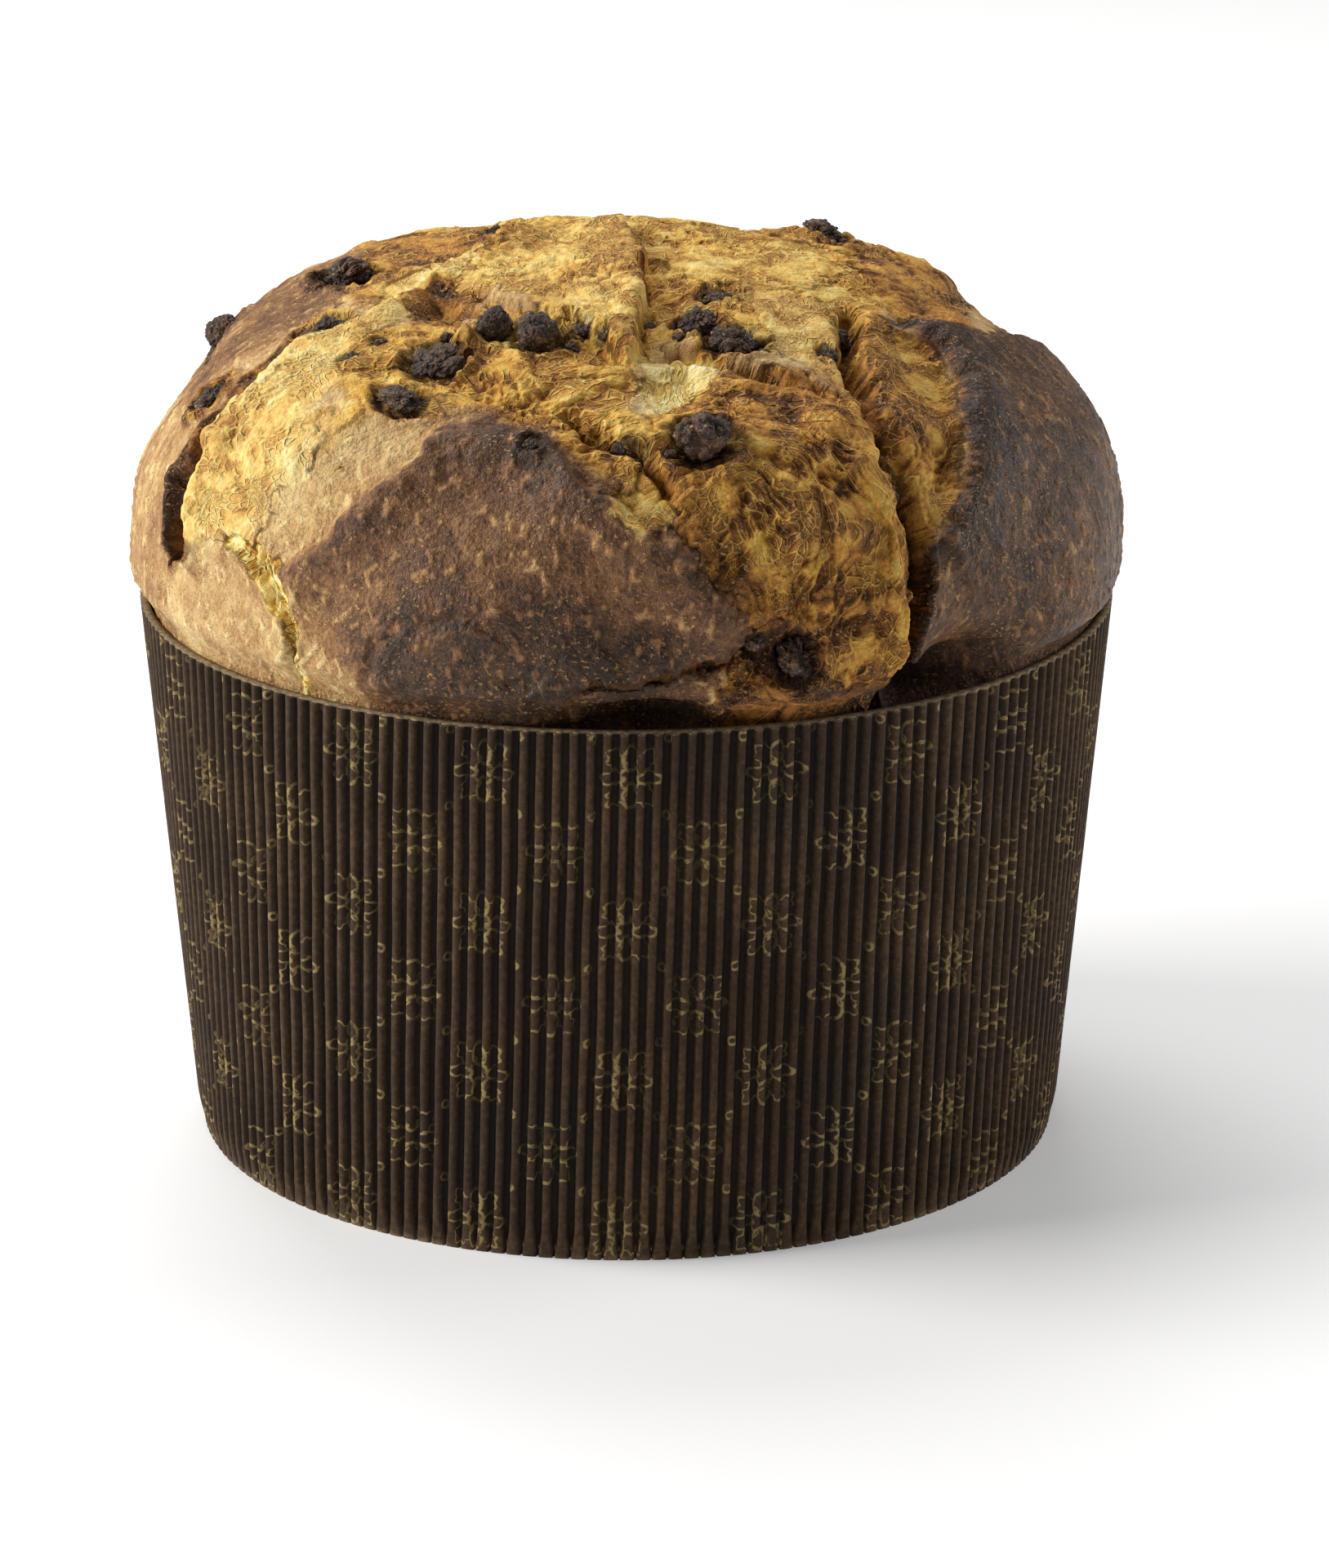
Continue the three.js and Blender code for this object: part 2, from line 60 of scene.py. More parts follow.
# The loaf's smooth skin: a dome that spreads over the rim, tucked in to go down inside the mould.
BELLY_RADIUS = 96.2
BELLY_HEIGHT = 115.7
CROWN_RISE = 58.2
SIDE_POWER = 2.443
TOP_POWER = 2.569
TUCK_HEIGHT = 108.2
SKIN_BOTTOM = 95
FIT_GAP = 0.4
LOAF_FLOOR = 1.4
PEEL_HEIGHT = 0.7
# The skin lies this much lower, which makes up for the relief that stands out of it.
SKIN_SINK = 0.7
# Above this height the crust flattens off, so that nothing stands above the frame.
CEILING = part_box("bread")[1].z / MM - 1.7
# Lumps and strands stand out along lines from this height on the loaf's axis.
HEART_HEIGHT = 85

# The crust's grid: cells across it, and how much closer they lie at the front.
SKIN_CELLS = 608
FRONT_CROWDING = 0.15
# The maps named grain and print count in steps of this many millimetres.
MAP_STEP = 100

# Places on the crust are [right, front] on the skin unrolled about the crown, in millimetres.
SWELLS = [
    # at, half widths, turn, rise
    ((-25, 107), (50, 26), 0, 3.5),
    ((42, 95), (26, 30), 20, 4.5),
    ((98, 50), (34, 52), -25, 3.5),
    ((-62, 57), (32, 24), 35, 5),
    ((-112, 38), (26, 44), 20, 1.2),
    ((-78, -2), (22, 20), 0, 1.5),
    ((-58, -30), (18, 16), 0, 1.6),
    ((-92, -6), (13, 22), 0, -5),
    ((-11, 18), (17, 40), 0, 2),
    ((26, 5), (22, 22), 0, 0.5),
    ((56, -30), (20, 16), 0, 1.6),
    ((78, -28), (16, 24), 10, -6),
    ((9, 62), (9, 10), 0, -3),
    ((35, 117), (11, 6), -12, -6),
    ((85, 104), (22, 9), -51, -14),
    ((4, 137), (26, 4.5), -4, -7),
    ((-35, 25), (6, 8), 0, -6),
    ((-5, -104), (48, 24), 0, 3),
    ((98, -66), (26, 36), 30, 2.5),
    ((-98, -72), (26, 36), -32, 2.5),
    ((18, -52), (20, 12), 15, -2.5),
]

# Tears: the line, its groove's width and depth, how far each lip stands up, and over what reach.
TEARS = [
    # left crack and the fold that runs on from it
    ([(-104, 58), (-97, 55), (-88, 50), (-77, 44)], 10, 12, 1.5, 2, 9),
    ([(-84, 49), (-76, 44), (-67, 38), (-57, 31)], 6, 5, -0.5, 2.5, 9),
    ([(-60, 34), (-48, 30), (-41, 20), (-34, 5), (-27, -9), (-20, -30)], 5, 2.5, -0.5, 2.5, 8),
    # left seam
    ([(-95, 62), (-84, 71), (-78, 80), (-78, 92), (-82, 98), (-88, 106)], 4, 1.2, 0.5, 1, 6),
    # front flap's ridge and toe
    ([(-77, 83), (-63, 85), (-50, 82), (-40, 77), (-29, 69)], 5, 0.5, 0, 3, 9),
    ([(-29, 69), (-20, 77), (-9, 86), (3, 97), (14, 103), (22, 108), (28, 115)], 6, 1.5, -1, 3.5, 10),
    ([(28, 115), (22, 121), (8, 125), (-10, 128), (-28, 127)], 5, 3, -1.5, 2, 7),
    # right crack, and the right lobe's ridge and top edge
    ([(40, 44), (45, 56), (50, 70), (54, 80)], 8, 4, 1, 0.5, 7),
    ([(52, 76), (57, 85), (62, 94), (67, 104), (72, 116), (76, 126)], 7.5, 14, 1, 1, 7),
    ([(50, 26), (60, 36), (65, 50), (67, 62), (68, 72), (65, 80), (62, 88)], 6, 0, 3, -1.5, 12),
    ([(50, 27), (60, 22), (69, 18), (76, 4), (86, -12)], 6, 1, -1, 0.8, 10),
    # tongue
    ([(-3, -28), (1, -12), (3, 5), (4, 26), (4, 45), (2, 58)], 3.5, 3, -2, 2.4, 9),
    ([(2, 58), (-4, 53), (-9, 45), (-17, 41), (-25, 34), (-28, 18)], 4, 2, -1.5, 2, 7),
    # shelf, inner cleft and middle slit
    ([(5, 51), (14, 54), (24, 58), (35, 61)], 4, 2, 1.2, -0.5, 5),
    ([(42, 24), (43, 34), (42, 45), (46, 55)], 7, 6, 1, 0.5, 6),
    ([(-12, 72), (-4, 78), (4, 84), (11, 93)], 5, 4.5, 0.5, 0.5, 5),
    # front wrinkles
    ([(-68, 113), (-50, 109), (-34, 111), (-22, 116)], 4, 0.7, 0.3, 0.4, 5),
    ([(-70, 118), (-52, 119), (-36, 122), (-16, 124)], 4, 0.7, 0.3, 0.3, 5),
    # back
    ([(66, -16), (76, -34), (88, -46), (96, -62), (110, -82)], 9, 8, 0.8, 0.8, 9),
    ([(-26, -46), (-38, -62), (-44, -82), (-60, -100), (-66, -122)], 9, 7, 1, 1, 9),
    ([(-30, -76), (-8, -72), (14, -78), (38, -72), (62, -56)], 6, 1.5, 1.8, -0.5, 10),
    ([(-100, -48), (-84, -56), (-70, -52), (-58, -62)], 6, 1, -0.5, 2, 10),
]

# Patches of the crust, painted one over another: outline, how baked it is from pale crumb at 0 to
# burnt at 1, how torn open, how soft its edge is, and which way its grain runs, in degrees or round
# a place.
PATCHES = [
    ("left lobe", [(-140, -40), (-60, -40), (-54, 0), (-60, 30), (-84, 47), (-104, 57), (-140, 60)],
     0.61, 0, 5, 60),
    ("burnt left shoulder", [(-96, -30), (-52, -26), (-52, 12), (-66, 22), (-88, 26), (-98, 8)],
     0.76, 0.1, 6, 60),
    ("gold top", [(-52, -50), (60, -50), (66, 0), (52, 22), (40, 45), (4, 50), (-30, 20), (-50, 10)],
     0.38, 0.7, 6, 90),
    ("yellow top", [(2, -24), (22, -26), (40, -14), (46, 6), (34, 20), (12, 18), (3, 0)], 0.34, 0.6, 4, 20),
    ("brown top right", [(40, -34), (68, -24), (68, 14), (54, 24), (46, 4)], 0.58, 0.8, 6, 90),
    ("brown top left", [(-52, -34), (-26, -34), (-28, -6), (-44, 18), (-54, 26)], 0.52, 0.6, 5, 60),
    ("tongue", [(-17, -30), (-1, -42), (4, 5), (5, 45), (2, 59), (-5, 53), (-11, 44), (-23, 33), (-27, 8)],
     0.32, 0.55, 1.2, 86),
    ("pale roll", [(-44, 6), (-27, -12), (-26, 20), (-38, 34), (-50, 42), (-54, 58), (-62, 71), (-76, 75),
                   (-90, 66), (-98, 58), (-84, 50), (-72, 41), (-58, 32), (-48, 22)], 0.23, 0.5, 2.5, 35),
    # Painted shade: this patch is torn crumb, and its dark bake stands for the shade in the hollow under the
    # roll.
    ("cave", [(-42, 20), (-34, 14), (-29, 22), (-29, 34), (-38, 36)], 0.72, 1, 2.5, 80),
    ("gold slope", [(-52, 42), (-36, 36), (-10, 44), (2, 60), (6, 84), (2, 98), (-12, 84), (-29, 69),
                    (-42, 77), (-60, 80), (-60, 72), (-53, 60)], 0.41, 0.8, 4, 10),
    ("pale window", [(3, 54), (12, 54), (18, 58), (14, 67), (7, 71), (3, 65)], 0.09, 0.6, 3, 60),
    ("smooth bridge", [(22, 18), (38, 24), (47, 50), (60, 70), (62, 82), (54, 76), (44, 64), (30, 52),
                       (24, 34)], 0.33, 0.5, 4, 60),
    ("front torn lobe", [(6, 74), (20, 60), (32, 56), (46, 66), (58, 82), (66, 100), (76, 124), (60, 132),
                         (24, 134), (26, 116), (14, 104), (0, 96)], 0.51, 1, 3, (12, 118)),
    ("pale lobe edge", [(46, 68), (57, 82), (64, 98), (73, 120), (62, 124), (52, 112), (56, 98), (48, 82)],
     0.42, 0.8, 4, (12, 118)),
    # Painted shade: this patch is torn crumb, and its dark bake stands for the shade in the pit.
    ("pit", [(24, 114), (34, 111), (44, 113), (46, 120), (36, 122), (26, 120)], 0.8, 1, 2, 100),
    ("layered foot", [(22, 124), (40, 121), (50, 119), (66, 112), (68, 132), (22, 142)], 0.78, 1, 1.5, 175),
    ("left crack wall", [(-106, 56), (-92, 46), (-80, 39), (-66, 30), (-57, 27), (-59, 33), (-70, 41),
                         (-83, 50), (-98, 62)], 0.82, 1, 2, 40),
    ("right flank", [(42, 40), (48, 28), (58, 33), (64, 48), (67, 62), (68, 72), (65, 80), (60, 90), (56, 84),
                     (52, 72), (46, 60)], 0.47, 0.8, 2, 120),
    ("right side crust", [(74, 4), (150, 10), (150, -70), (100, -58), (84, -34), (76, -14)],
     0.86, 0, 9, 50),
    ("right crust", [(50, 26), (62, 18), (72, 10), (78, -10), (150, -30), (150, 150), (84, 122), (70, 112),
                     (62, 92), (62, 87), (66, 79), (68, 71), (67, 60), (64, 47), (58, 34)], 0.9, 0, 0.8, 50),
    ("front flap", [(-75, 84), (-63, 86), (-50, 82), (-40, 77), (-29, 69), (-20, 77), (-9, 86), (3, 97),
                    (14, 103), (22, 108), (28, 114), (24, 121), (21, 128), (24, 150), (-100, 150), (-90, 112),
                    (-84, 104), (-79, 99), (-76, 92)], 0.8, 0, 1.2, 20),
    ("dark flap brow", [(-74, 86), (-50, 81), (-29, 68), (-10, 84), (10, 100), (24, 108), (22, 116),
                        (0, 114), (-30, 102), (-58, 98), (-76, 95)], 0.79, 0, 7, 20),
    ("red flap foot", [(-66, 114), (-40, 110), (-10, 112), (12, 120), (24, 150), (-66, 150)], 0.98, 0, 8, 20),
    ("tan flap side", [(-80, 86), (-70, 90), (-66, 106), (-70, 124), (-90, 124), (-88, 108)], 0.66, 0, 6, 20),
    ("tan slope foot", [(-80, 82), (-64, 86), (-50, 83), (-38, 77), (-31, 69), (-34, 63), (-46, 63),
                        (-60, 70), (-76, 76)], 0.5, 0.2, 5, 20),
    ("left strip", [(-100, 60), (-86, 71), (-80, 81), (-80, 92), (-84, 99), (-90, 107), (-110, 140),
                    (-130, 140), (-118, 70)], 0.54, 0, 2.5, 70),
    ("seam crumb", [(-88, 68), (-76, 75), (-73, 84), (-75, 94), (-80, 101), (-86, 107), (-88, 105), (-82, 98),
                    (-80, 92), (-80, 82)], 0.1, 1, 1.5, 80),
    ("tan bump", [(-1, 91), (7, 91), (10, 97), (4, 101), (-2, 97)], 0.22, 0.6, 1.5, 0),
    # Painted shade: the full bake here stands for shade in the recess at the rim, not burnt crust.
    ("rim recess", [(-22, 139), (-10, 135), (8, 134.5), (22, 136), (26, 146), (-26, 146)], 1, 0.5, 2, 0),
    # Painted shade: the near-full bake here stands for shade at the foot of the right crack, by the rim.
    ("crack foot", [(66, 101), (78, 106), (92, 102), (106, 92), (112, 98), (84, 130), (70, 124)],
     0.96, 0.3, 3, 0),
    ("back flap", [(-26, -60), (-8, -56), (14, -64), (38, -58), (60, -46), (88, -44), (110, -84), (100, -150),
                   (-70, -150), (-62, -104), (-42, -80)], 0.68, 0, 4, 20),
    ("back right crust", [(84, -30), (150, -30), (150, -90), (112, -84), (96, -60)], 0.76, 0, 4, 30),
    ("back left crust", [(-140, -40), (-66, -46), (-46, -70), (-64, -100), (-70, -140), (-140, -140)],
     0.7, 0, 5, 40),
]
# Small round dents in the baked crust: place, radius, depth.
DENTS = [((-27, 97), 4, 0.35), ((-50, 103), 3.5, 0.3), ((98, 66), 5, 0.5), ((-108, 30), 5, 0.4)]

# Fields of torn strands that lie on the crumb: patch, count, how long, and either the place that they
# curve round or the way that they run in degrees.
STRANDS = [
    ("front torn lobe", 60, 10, (12, 118), None),
    ("pale lobe edge", 16, 9, (12, 118), None),
    ("smooth bridge", 24, 12, None, 55),
    ("gold slope", 24, 6, None, 12),
    ("right flank", 16, 5, (40, 66), None),
    ("layered foot", 24, 12, None, -4),
    ("gold top", 20, 7, None, 10),
    ("yellow top", 8, 8, None, 15),
    ("left crack wall", 30, 4, None, 60),
    ("seam crumb", 16, 4, None, 80),
]
STRAND_STEPS = 12

# Chocolate: node number, how smooth it is, from a craggy cluster at 0 to a round bead at 1.
SMOOTH_LUMPS = {1: 0.7, 2: 0.7, 11: 0.8, 3: 0.3, 14: 0.3, 16: 0.5}
LUMP_HALVES = {
    1: (3.8, 3.8, 5), 2: (4.4, 4, 4.2), 3: (5.6, 5, 5.5), 4: (4, 3.8, 3), 5: (4.6, 3.6, 2.8),
    6: (5.2, 5, 2.4), 7: (5, 2.6, 2), 8: (4.2, 4.4, 2.6), 9: (4, 4, 2.6), 10: (5, 5, 3.2),
    11: (3.8, 4.4, 4), 12: (5.5, 4, 2.8), 13: (3.6, 4.6, 3), 14: (3, 4.5, 3.4),
    15: (5, 4.5, 3.4), 16: (4.5, 5, 3.4), 17: (4, 5, 3.4),
}
LUMP_IN_CRACK = 14
# Chips too small for a node of their own: place, half sizes.
CHIPS = [
    ((-51, 47), (1.8, 2, 1.6)), ((-26, -25), (3.4, 2.4, 1.8)), ((16.5, -31), (2.8, 2, 1.8)),
    ((41.6, 35), (1.9, 3, 2)), ((38.4, 46.5), (1.6, 2.2, 1.6)), ((17.7, 26), (3.4, 2, 1.4)),
    ((29.7, 115.5), (2.2, 3, 1.6)), ((52.7, 80), (1.2, 1.8, 1.6)), ((5, 38), (0.9, 1.8, 1.2)),
    ((-8, 46), (2, 1.6, 1.2)), ((-10, 51), (1.4, 1.2, 1)), ((-4, 50), (1, 1, 0.8)),
    ((10, 47), (1.2, 1.2, 1)), ((26, 50), (1.3, 1.1, 0.9)), ((9, 83), (1.4, 1.3, 1.2)),
    ((3, 82), (1.8, 1.4, 1)), ((0, 80), (2.4, 1.4, 0.9)), ((-17, 82), (1.6, 1.2, 0.9)),
    ((-31, 53), (1.4, 1.6, 1)), ((-33, 45), (1.6, 1.3, 1.1)), ((-46, 42), (1.2, 1.5, 1)),
]


def wall_radius(z):
    return BASE_RADIUS + (RIM_RADIUS - BASE_RADIUS) * z / WALL_HEIGHT


def loaf_radius(z):
    return wall_radius(z) - WALL_THICKNESS - FIT_GAP


def smooth_step(low, high, x):
    t = np.clip((x - low) / (high - low), 0, 1)
    return t * t * (3 - 2 * t)


def mottle(a, b, size_a, size_b, seed):
    """Soft blotches between -1 and 1, size_a by size_b millimetres each."""
    side = 512
    values = np.random.default_rng(seed).uniform(-1, 1, (side, side))
    x, y = a / size_a + 131.7, b / size_b + 217.3
    i, j = np.floor(x).astype(int), np.floor(y).astype(int)
    p, q = x - i, y - j
    p, q = p * p * (3 - 2 * p), q * q * (3 - 2 * q)
    i0, j0, i1, j1 = i % side, j % side, (i + 1) % side, (j + 1) % side
    near = values[i0, j0] * (1 - p) + values[i1, j0] * p
    far = values[i0, j1] * (1 - p) + values[i1, j1] * p
    return near * (1 - q) + far * q


def cloudy(a, b, size, seed, octaves=3):
    total = 0
    for octave in range(octaves):
        total = total + mottle(a, b, size / 2**octave, size / 2**octave, seed + octave) / 2**octave
    return total


def ridges(a, b, size_a, size_b, seed):
    """Thin winding ridges, 1 along their tops and -1 between them."""
    return 1 - 2 * np.abs(mottle(a, b, size_a, size_b, seed))


def crown_profile():
    t = np.linspace(math.pi / 2, 0, 900)
    radius = BELLY_RADIUS * np.cos(t) ** (2 / SIDE_POWER)
    height = BELLY_HEIGHT + CROWN_RISE * np.sin(t) ** (2 / TOP_POWER)
    z = np.linspace(BELLY_HEIGHT, SKIN_BOTTOM, 300)[1:]
    tucked = 1 - smooth_step(TUCK_HEIGHT, BELLY_HEIGHT, z)
    radius = np.append(radius, BELLY_RADIUS + (loaf_radius(z) - BELLY_RADIUS) * tucked)
    height = np.append(height, z)
    along = np.append(0, np.cumsum(np.hypot(np.diff(radius), np.diff(height))))
    return along, radius, height


SKIN_ALONG, SKIN_RADIUS, SKIN_HEIGHT = crown_profile()
SKIN_REACH = SKIN_ALONG[-1]


def on_skin(right, front, height):
    """Points that stand out from the smooth skin by height, in millimetres."""
    along = np.maximum(np.hypot(right, front), 1e-6)
    step = 0.4
    radius = np.interp(along, SKIN_ALONG, SKIN_RADIUS)
    z = np.interp(along, SKIN_ALONG, SKIN_HEIGHT)
    run_out = np.interp(along + step, SKIN_ALONG, SKIN_RADIUS) - np.interp(
        along - step, SKIN_ALONG, SKIN_RADIUS
    )
    run_up = np.interp(along + step, SKIN_ALONG, SKIN_HEIGHT) - np.interp(
        along - step, SKIN_ALONG, SKIN_HEIGHT
    )
    length = np.hypot(run_out, run_up)
    reach = radius - run_up / length * height
    return np.stack(
        [right / along * reach, -front / along * reach, z + run_out / length * height], -1
    )


def curve_points(line, steps=28):
    """A smooth curve through the line's points."""
    points = [np.array(p, float) for p in line]
    ends = [2 * points[0] - points[1], *points, 2 * points[-1] - points[-2]]
    result = []
    for k in range(steps + 1):
        t = k / steps * (len(points) - 1)
        i = min(int(t), len(points) - 2)
        t -= i
        a, b, c, d = ends[i : i + 4]
        result.append(
            0.5 * (2 * b + (c - a) * t + (2 * a - 5 * b + 4 * c - d) * t**2 + (3 * b - a - 3 * c + d) * t**3)
        )
    return result


def beside_stretch(start, end, right, front):
    """Distance from a straight stretch, and the share along it."""
    (ax, ay), (bx, by) = start, end
    dx, dy = bx - ax, by - ay
    t = np.clip(((right - ax) * dx + (front - ay) * dy) / (dx * dx + dy * dy), 0, 1)
    return np.hypot(right - ax - dx * t, front - ay - dy * t), t


def beside_line(points, right, front):
    """Signed distance from a line, positive on its left as seen from above, and the share along it."""
    best = np.full(right.shape, np.inf)
    side = np.ones(right.shape)
    share = np.zeros(right.shape)
    for i, ((ax, ay), (bx, by)) in enumerate(zip(points, points[1:])):
        away, t = beside_stretch((ax, ay), (bx, by), right, front)
        nearer = away < best
        best = np.where(nearer, away, best)
        on_left = (by - ay) * (right - ax) - (bx - ax) * (front - ay) >= 0
        side = np.where(nearer, np.where(on_left, 1, -1), side)
        share = np.where(nearer, (i + t) / (len(points) - 1), share)
    return best * side, share


def within(outline, right, front):
    """How far inside an outline, negative outside."""
    away = np.full(right.shape, np.inf)
    inside = np.zeros(right.shape, bool)
    for (ax, ay), (bx, by) in zip(outline, [*outline[1:], outline[0]]):
        away = np.minimum(away, beside_stretch((ax, ay), (bx, by), right, front)[0])
        if ay != by:
            crosses = (front < max(ay, by)) & (front >= min(ay, by))
            inside ^= crosses & (right < ax + (bx - ax) * (front - ay) / (by - ay))
    return np.where(inside, away, -away)


def unrolled(point):
    """The place on the unrolled skin nearest to a point, in millimetres."""
    radius = math.hypot(point.x, point.y) / MM
    nearest = np.argmin((SKIN_RADIUS - radius) ** 2 + (SKIN_HEIGHT - point.z / MM) ** 2)
    along = SKIN_ALONG[nearest]
    return np.array([point.x / MM, -point.y / MM]) / radius * along


def holes(a, b, size_a, size_b, seed):
    """Holes like a sponge's: 0 on the walls between them, 1 in the middle of each."""
    side = 256
    shift_a, shift_b = np.random.default_rng(seed).uniform(0.1, 0.9, (2, side, side))
    x, y = a / size_a + 57.3, b / size_b + 91.1
    i, j = np.floor(x).astype(int), np.floor(y).astype(int)
    first = np.full(x.shape, 9.0)
    second = np.full(x.shape, 9.0)
    for di in (-1, 0, 1):
        for dj in (-1, 0, 1):
            cell = (i + di) % side, (j + dj) % side
            away = np.hypot(i + di + shift_a[cell] - x, j + dj + shift_b[cell] - y)
            second = np.minimum(second, np.maximum(first, away))
            first = np.minimum(first, away)
    return smooth_step(0.05, 0.6, second - first)


def torn_crumb(right, front, grain_a, grain_b):
    """Torn crumb: strands along the grain, ledges where layers have parted, and holes."""
    warp_a = grain_a + 3 * cloudy(right, front, 19, 61) + 1.5 * cloudy(right, front, 6, 65)
    warp_b = grain_b + 3 * cloudy(right, front, 19, 71) + 1.5 * cloudy(right, front, 6, 75)
    strands = ridges(warp_a, warp_b, 2.4, 8, 81) + 0.6 * ridges(warp_a, warp_b, 1.2, 3, 82)
    layer = 1.1 * mottle(warp_a, warp_b, 7, 12, 91) + 0.45 * mottle(warp_a, warp_b, 3.4, 6, 92) + 8
    part = layer % 1
    ledge = np.floor(layer) + smooth_step(0, 0.35, part) - 8
    foot = np.exp(-((part / 0.1) ** 2)) + np.exp(-(((1 - part) / 0.05) ** 2))
    open_crumb = smooth_step(-0.35, 0.45, mottle(right, front, 12, 12, 96))
    fine_crumb = smooth_step(-0.3, 0.4, mottle(right, front, 7, 7, 98))
    large = holes(warp_a, warp_b, 2.4, 4, 95) * open_crumb
    small = holes(warp_a, warp_b, 1.2, 1.5, 99) * fine_crumb
    height = 0.03 * strands + 0.95 * ledge + 0.9 * cloudy(right, front, 9, 97) - 0.75 * large - 0.25 * small
    # Painted shade: holes and the feet of ledges are darker, and strand tops a little lighter as painted
    # highlight.
    hollow = 0.42 * large + 0.22 * small + 0.55 * foot - 0.05 * strands
    return height, hollow, warp_a, warp_b


def baked_skin(right, front):
    """Unbroken crust: slow swells, small blisters and fine creases."""
    blisters = smooth_step(0.4, 0.8, mottle(right, front, 1.5, 1.5, 131))
    creases = ridges(right, front + 2 * cloudy(right, front, 12, 133), 9, 2.2, 132)
    height = (
        0.5 * cloudy(right, front, 24, 101, 3)
        + 0.13 * cloudy(right, front, 4, 111)
        + 0.26 * blisters
        + 0.06 * creases
    )
    # Painted highlight: blisters and crease tops are painted lighter.
    return height, -0.45 * blisters - 0.04 * creases


def crust(right, front):
    """The crust's relief and look at places on the skin."""
    ragged_right = right + 1.7 * cloudy(right, front, 9, 11) + 0.6 * cloudy(right, front, 1.9, 21, 2)
    ragged_front = front + 1.7 * cloudy(right, front, 9, 31) + 0.6 * cloudy(right, front, 1.9, 41, 2)

    baked = np.full(right.shape, 0.45)
    torn = np.zeros(right.shape)
    grain_a, grain_b = right.copy(), front.copy()
    for name, outline, bake, open_, soft, grain in PATCHES:
        inside = within(outline, ragged_right, ragged_front)
        cover = smooth_step(-soft, soft, inside + 0.4 * soft * cloudy(right, front, 6, 51))
        baked += (bake - baked) * cover
        torn += (open_ - torn) * cover
        if isinstance(grain, tuple):
            across = np.hypot(right - grain[0], front - grain[1])
            along = 34 * np.arctan2(right - grain[0], grain[1] - front)
        else:
            turn = math.radians(grain)
            across = -right * math.sin(turn) + front * math.cos(turn)
            along = right * math.cos(turn) + front * math.sin(turn)
        grain_a += (across - grain_a) * (cover > 0.5)
        grain_b += (along - grain_b) * (cover > 0.5)

    height = 0
    for (x, y), (half_x, half_y), turn, rise in SWELLS:
        turn = math.radians(turn)
        dx, dy = right - x, front - y
        across = (dx * math.cos(turn) + dy * math.sin(turn)) / half_x
        along = (dy * math.cos(turn) - dx * math.sin(turn)) / half_y
        height = height + rise * np.exp(-1.4 * (across**2 + along**2))
    groove = np.zeros(right.shape)
    lips = np.zeros(right.shape)
    for line, width, depth, left, right_lip, reach in TEARS:
        distance, share = beside_line(curve_points(line), ragged_right, ragged_front)
        half = width / 2
        ends = smooth_step(0, 0.14, share) * smooth_step(0, 0.14, 1 - share)
        lip = right_lip + (left - right_lip) * smooth_step(-half, half, distance)
        beyond = np.maximum(0, np.abs(distance) - half) / reach
        raised = ends * lip * np.exp(-beyond * beyond * 2)
        cut = ends * depth * (1 - smooth_step(0.1 * half, half, np.abs(distance)))
        height = height + raised - cut
        lips += raised
        groove = np.maximum(groove, cut)
    torn = np.maximum(torn, smooth_step(0.8, 2.5, groove))
    for (x, y), radius, depth in DENTS:
        away = np.hypot(right - x, front - y) / radius
        height = height - depth * np.exp(-2.5 * away**2) + 0.5 * depth * np.exp(-12 * (away - 0.95) ** 2)

    # The crumb is torn open round each lump, with a gap beside it, and stained.
    stain = np.zeros(right.shape)
    for (x, y), (half_across, half_along) in BEDS:
        reach = math.hypot(x, y)
        dx, dy = right - x, front - y
        across = (dx * y - dy * x) / reach / half_across
        along = (dx * x + dy * y) / reach / half_along
        away = np.hypot(across, along) + 0.22 * mottle(right, front, 1.6, 1.6, 141)
        size = min(half_across, half_along)
        height = height + 0.2 * size * np.exp(-9 * (away - 1.5) ** 2) * (1 + mottle(right, front, 3, 3, 142))
        height = height - 0.35 * size * smooth_step(1.35, 0.95, away)
        stain = np.maximum(stain, smooth_step(1.75, 0.95, away))
        torn = np.maximum(torn, smooth_step(2, 1.4, away))

    crumb, crumb_hollow, warp_a, warp_b = torn_crumb(right, front, grain_a, grain_b)
    skin, skin_hollow = baked_skin(right, front)
    height = height + torn * crumb + (1 - torn) * skin - SKIN_SINK
    # The painted shade and highlight of crumb and skin, used by the crust's colour.
    hollow = torn * crumb_hollow + (1 - torn) * skin_hollow

    baked = baked + 0.03 * lips * (1 - torn) - 0.05 * smooth_step(1, 6, groove) * (baked - 0.4)
    baked = np.clip(baked + 0.05 * cloudy(right, front, 16, 121), 0, 1)
    looks = {"baked": baked, "torn": np.clip(torn, 0, 1), "groove": groove, "hollow": hollow, "stain": stain}
    return height, looks, (warp_a, warp_b)


def crust_points(right, front, lift=0.0):
    """Points of the crust. Inside the mould it may only draw back from the paper."""
    height, looks, grain = crust(right, front)
    z = np.interp(np.hypot(right, front), SKIN_ALONG, SKIN_HEIGHT)
    free = smooth_step(WALL_HEIGHT + 1, BELLY_HEIGHT, z)
    sunk = np.minimum(0, height) * smooth_step(SKIN_BOTTOM, WALL_HEIGHT, z)
    height = sunk + (height - sunk) * free
    points = on_skin(right, front, height + lift)
    over = np.maximum(0, points[..., 2] - CEILING)
    points[..., 2] += 1 - np.exp(-over) - over
    return points, looks, grain


def finish_piece(name, bm, material, node=None, smooth=True):
    mesh = bpy.data.meshes.new(name)
    bm.to_mesh(mesh)
    bm.free()
    return finish_mesh(name, mesh, material, node, smooth)


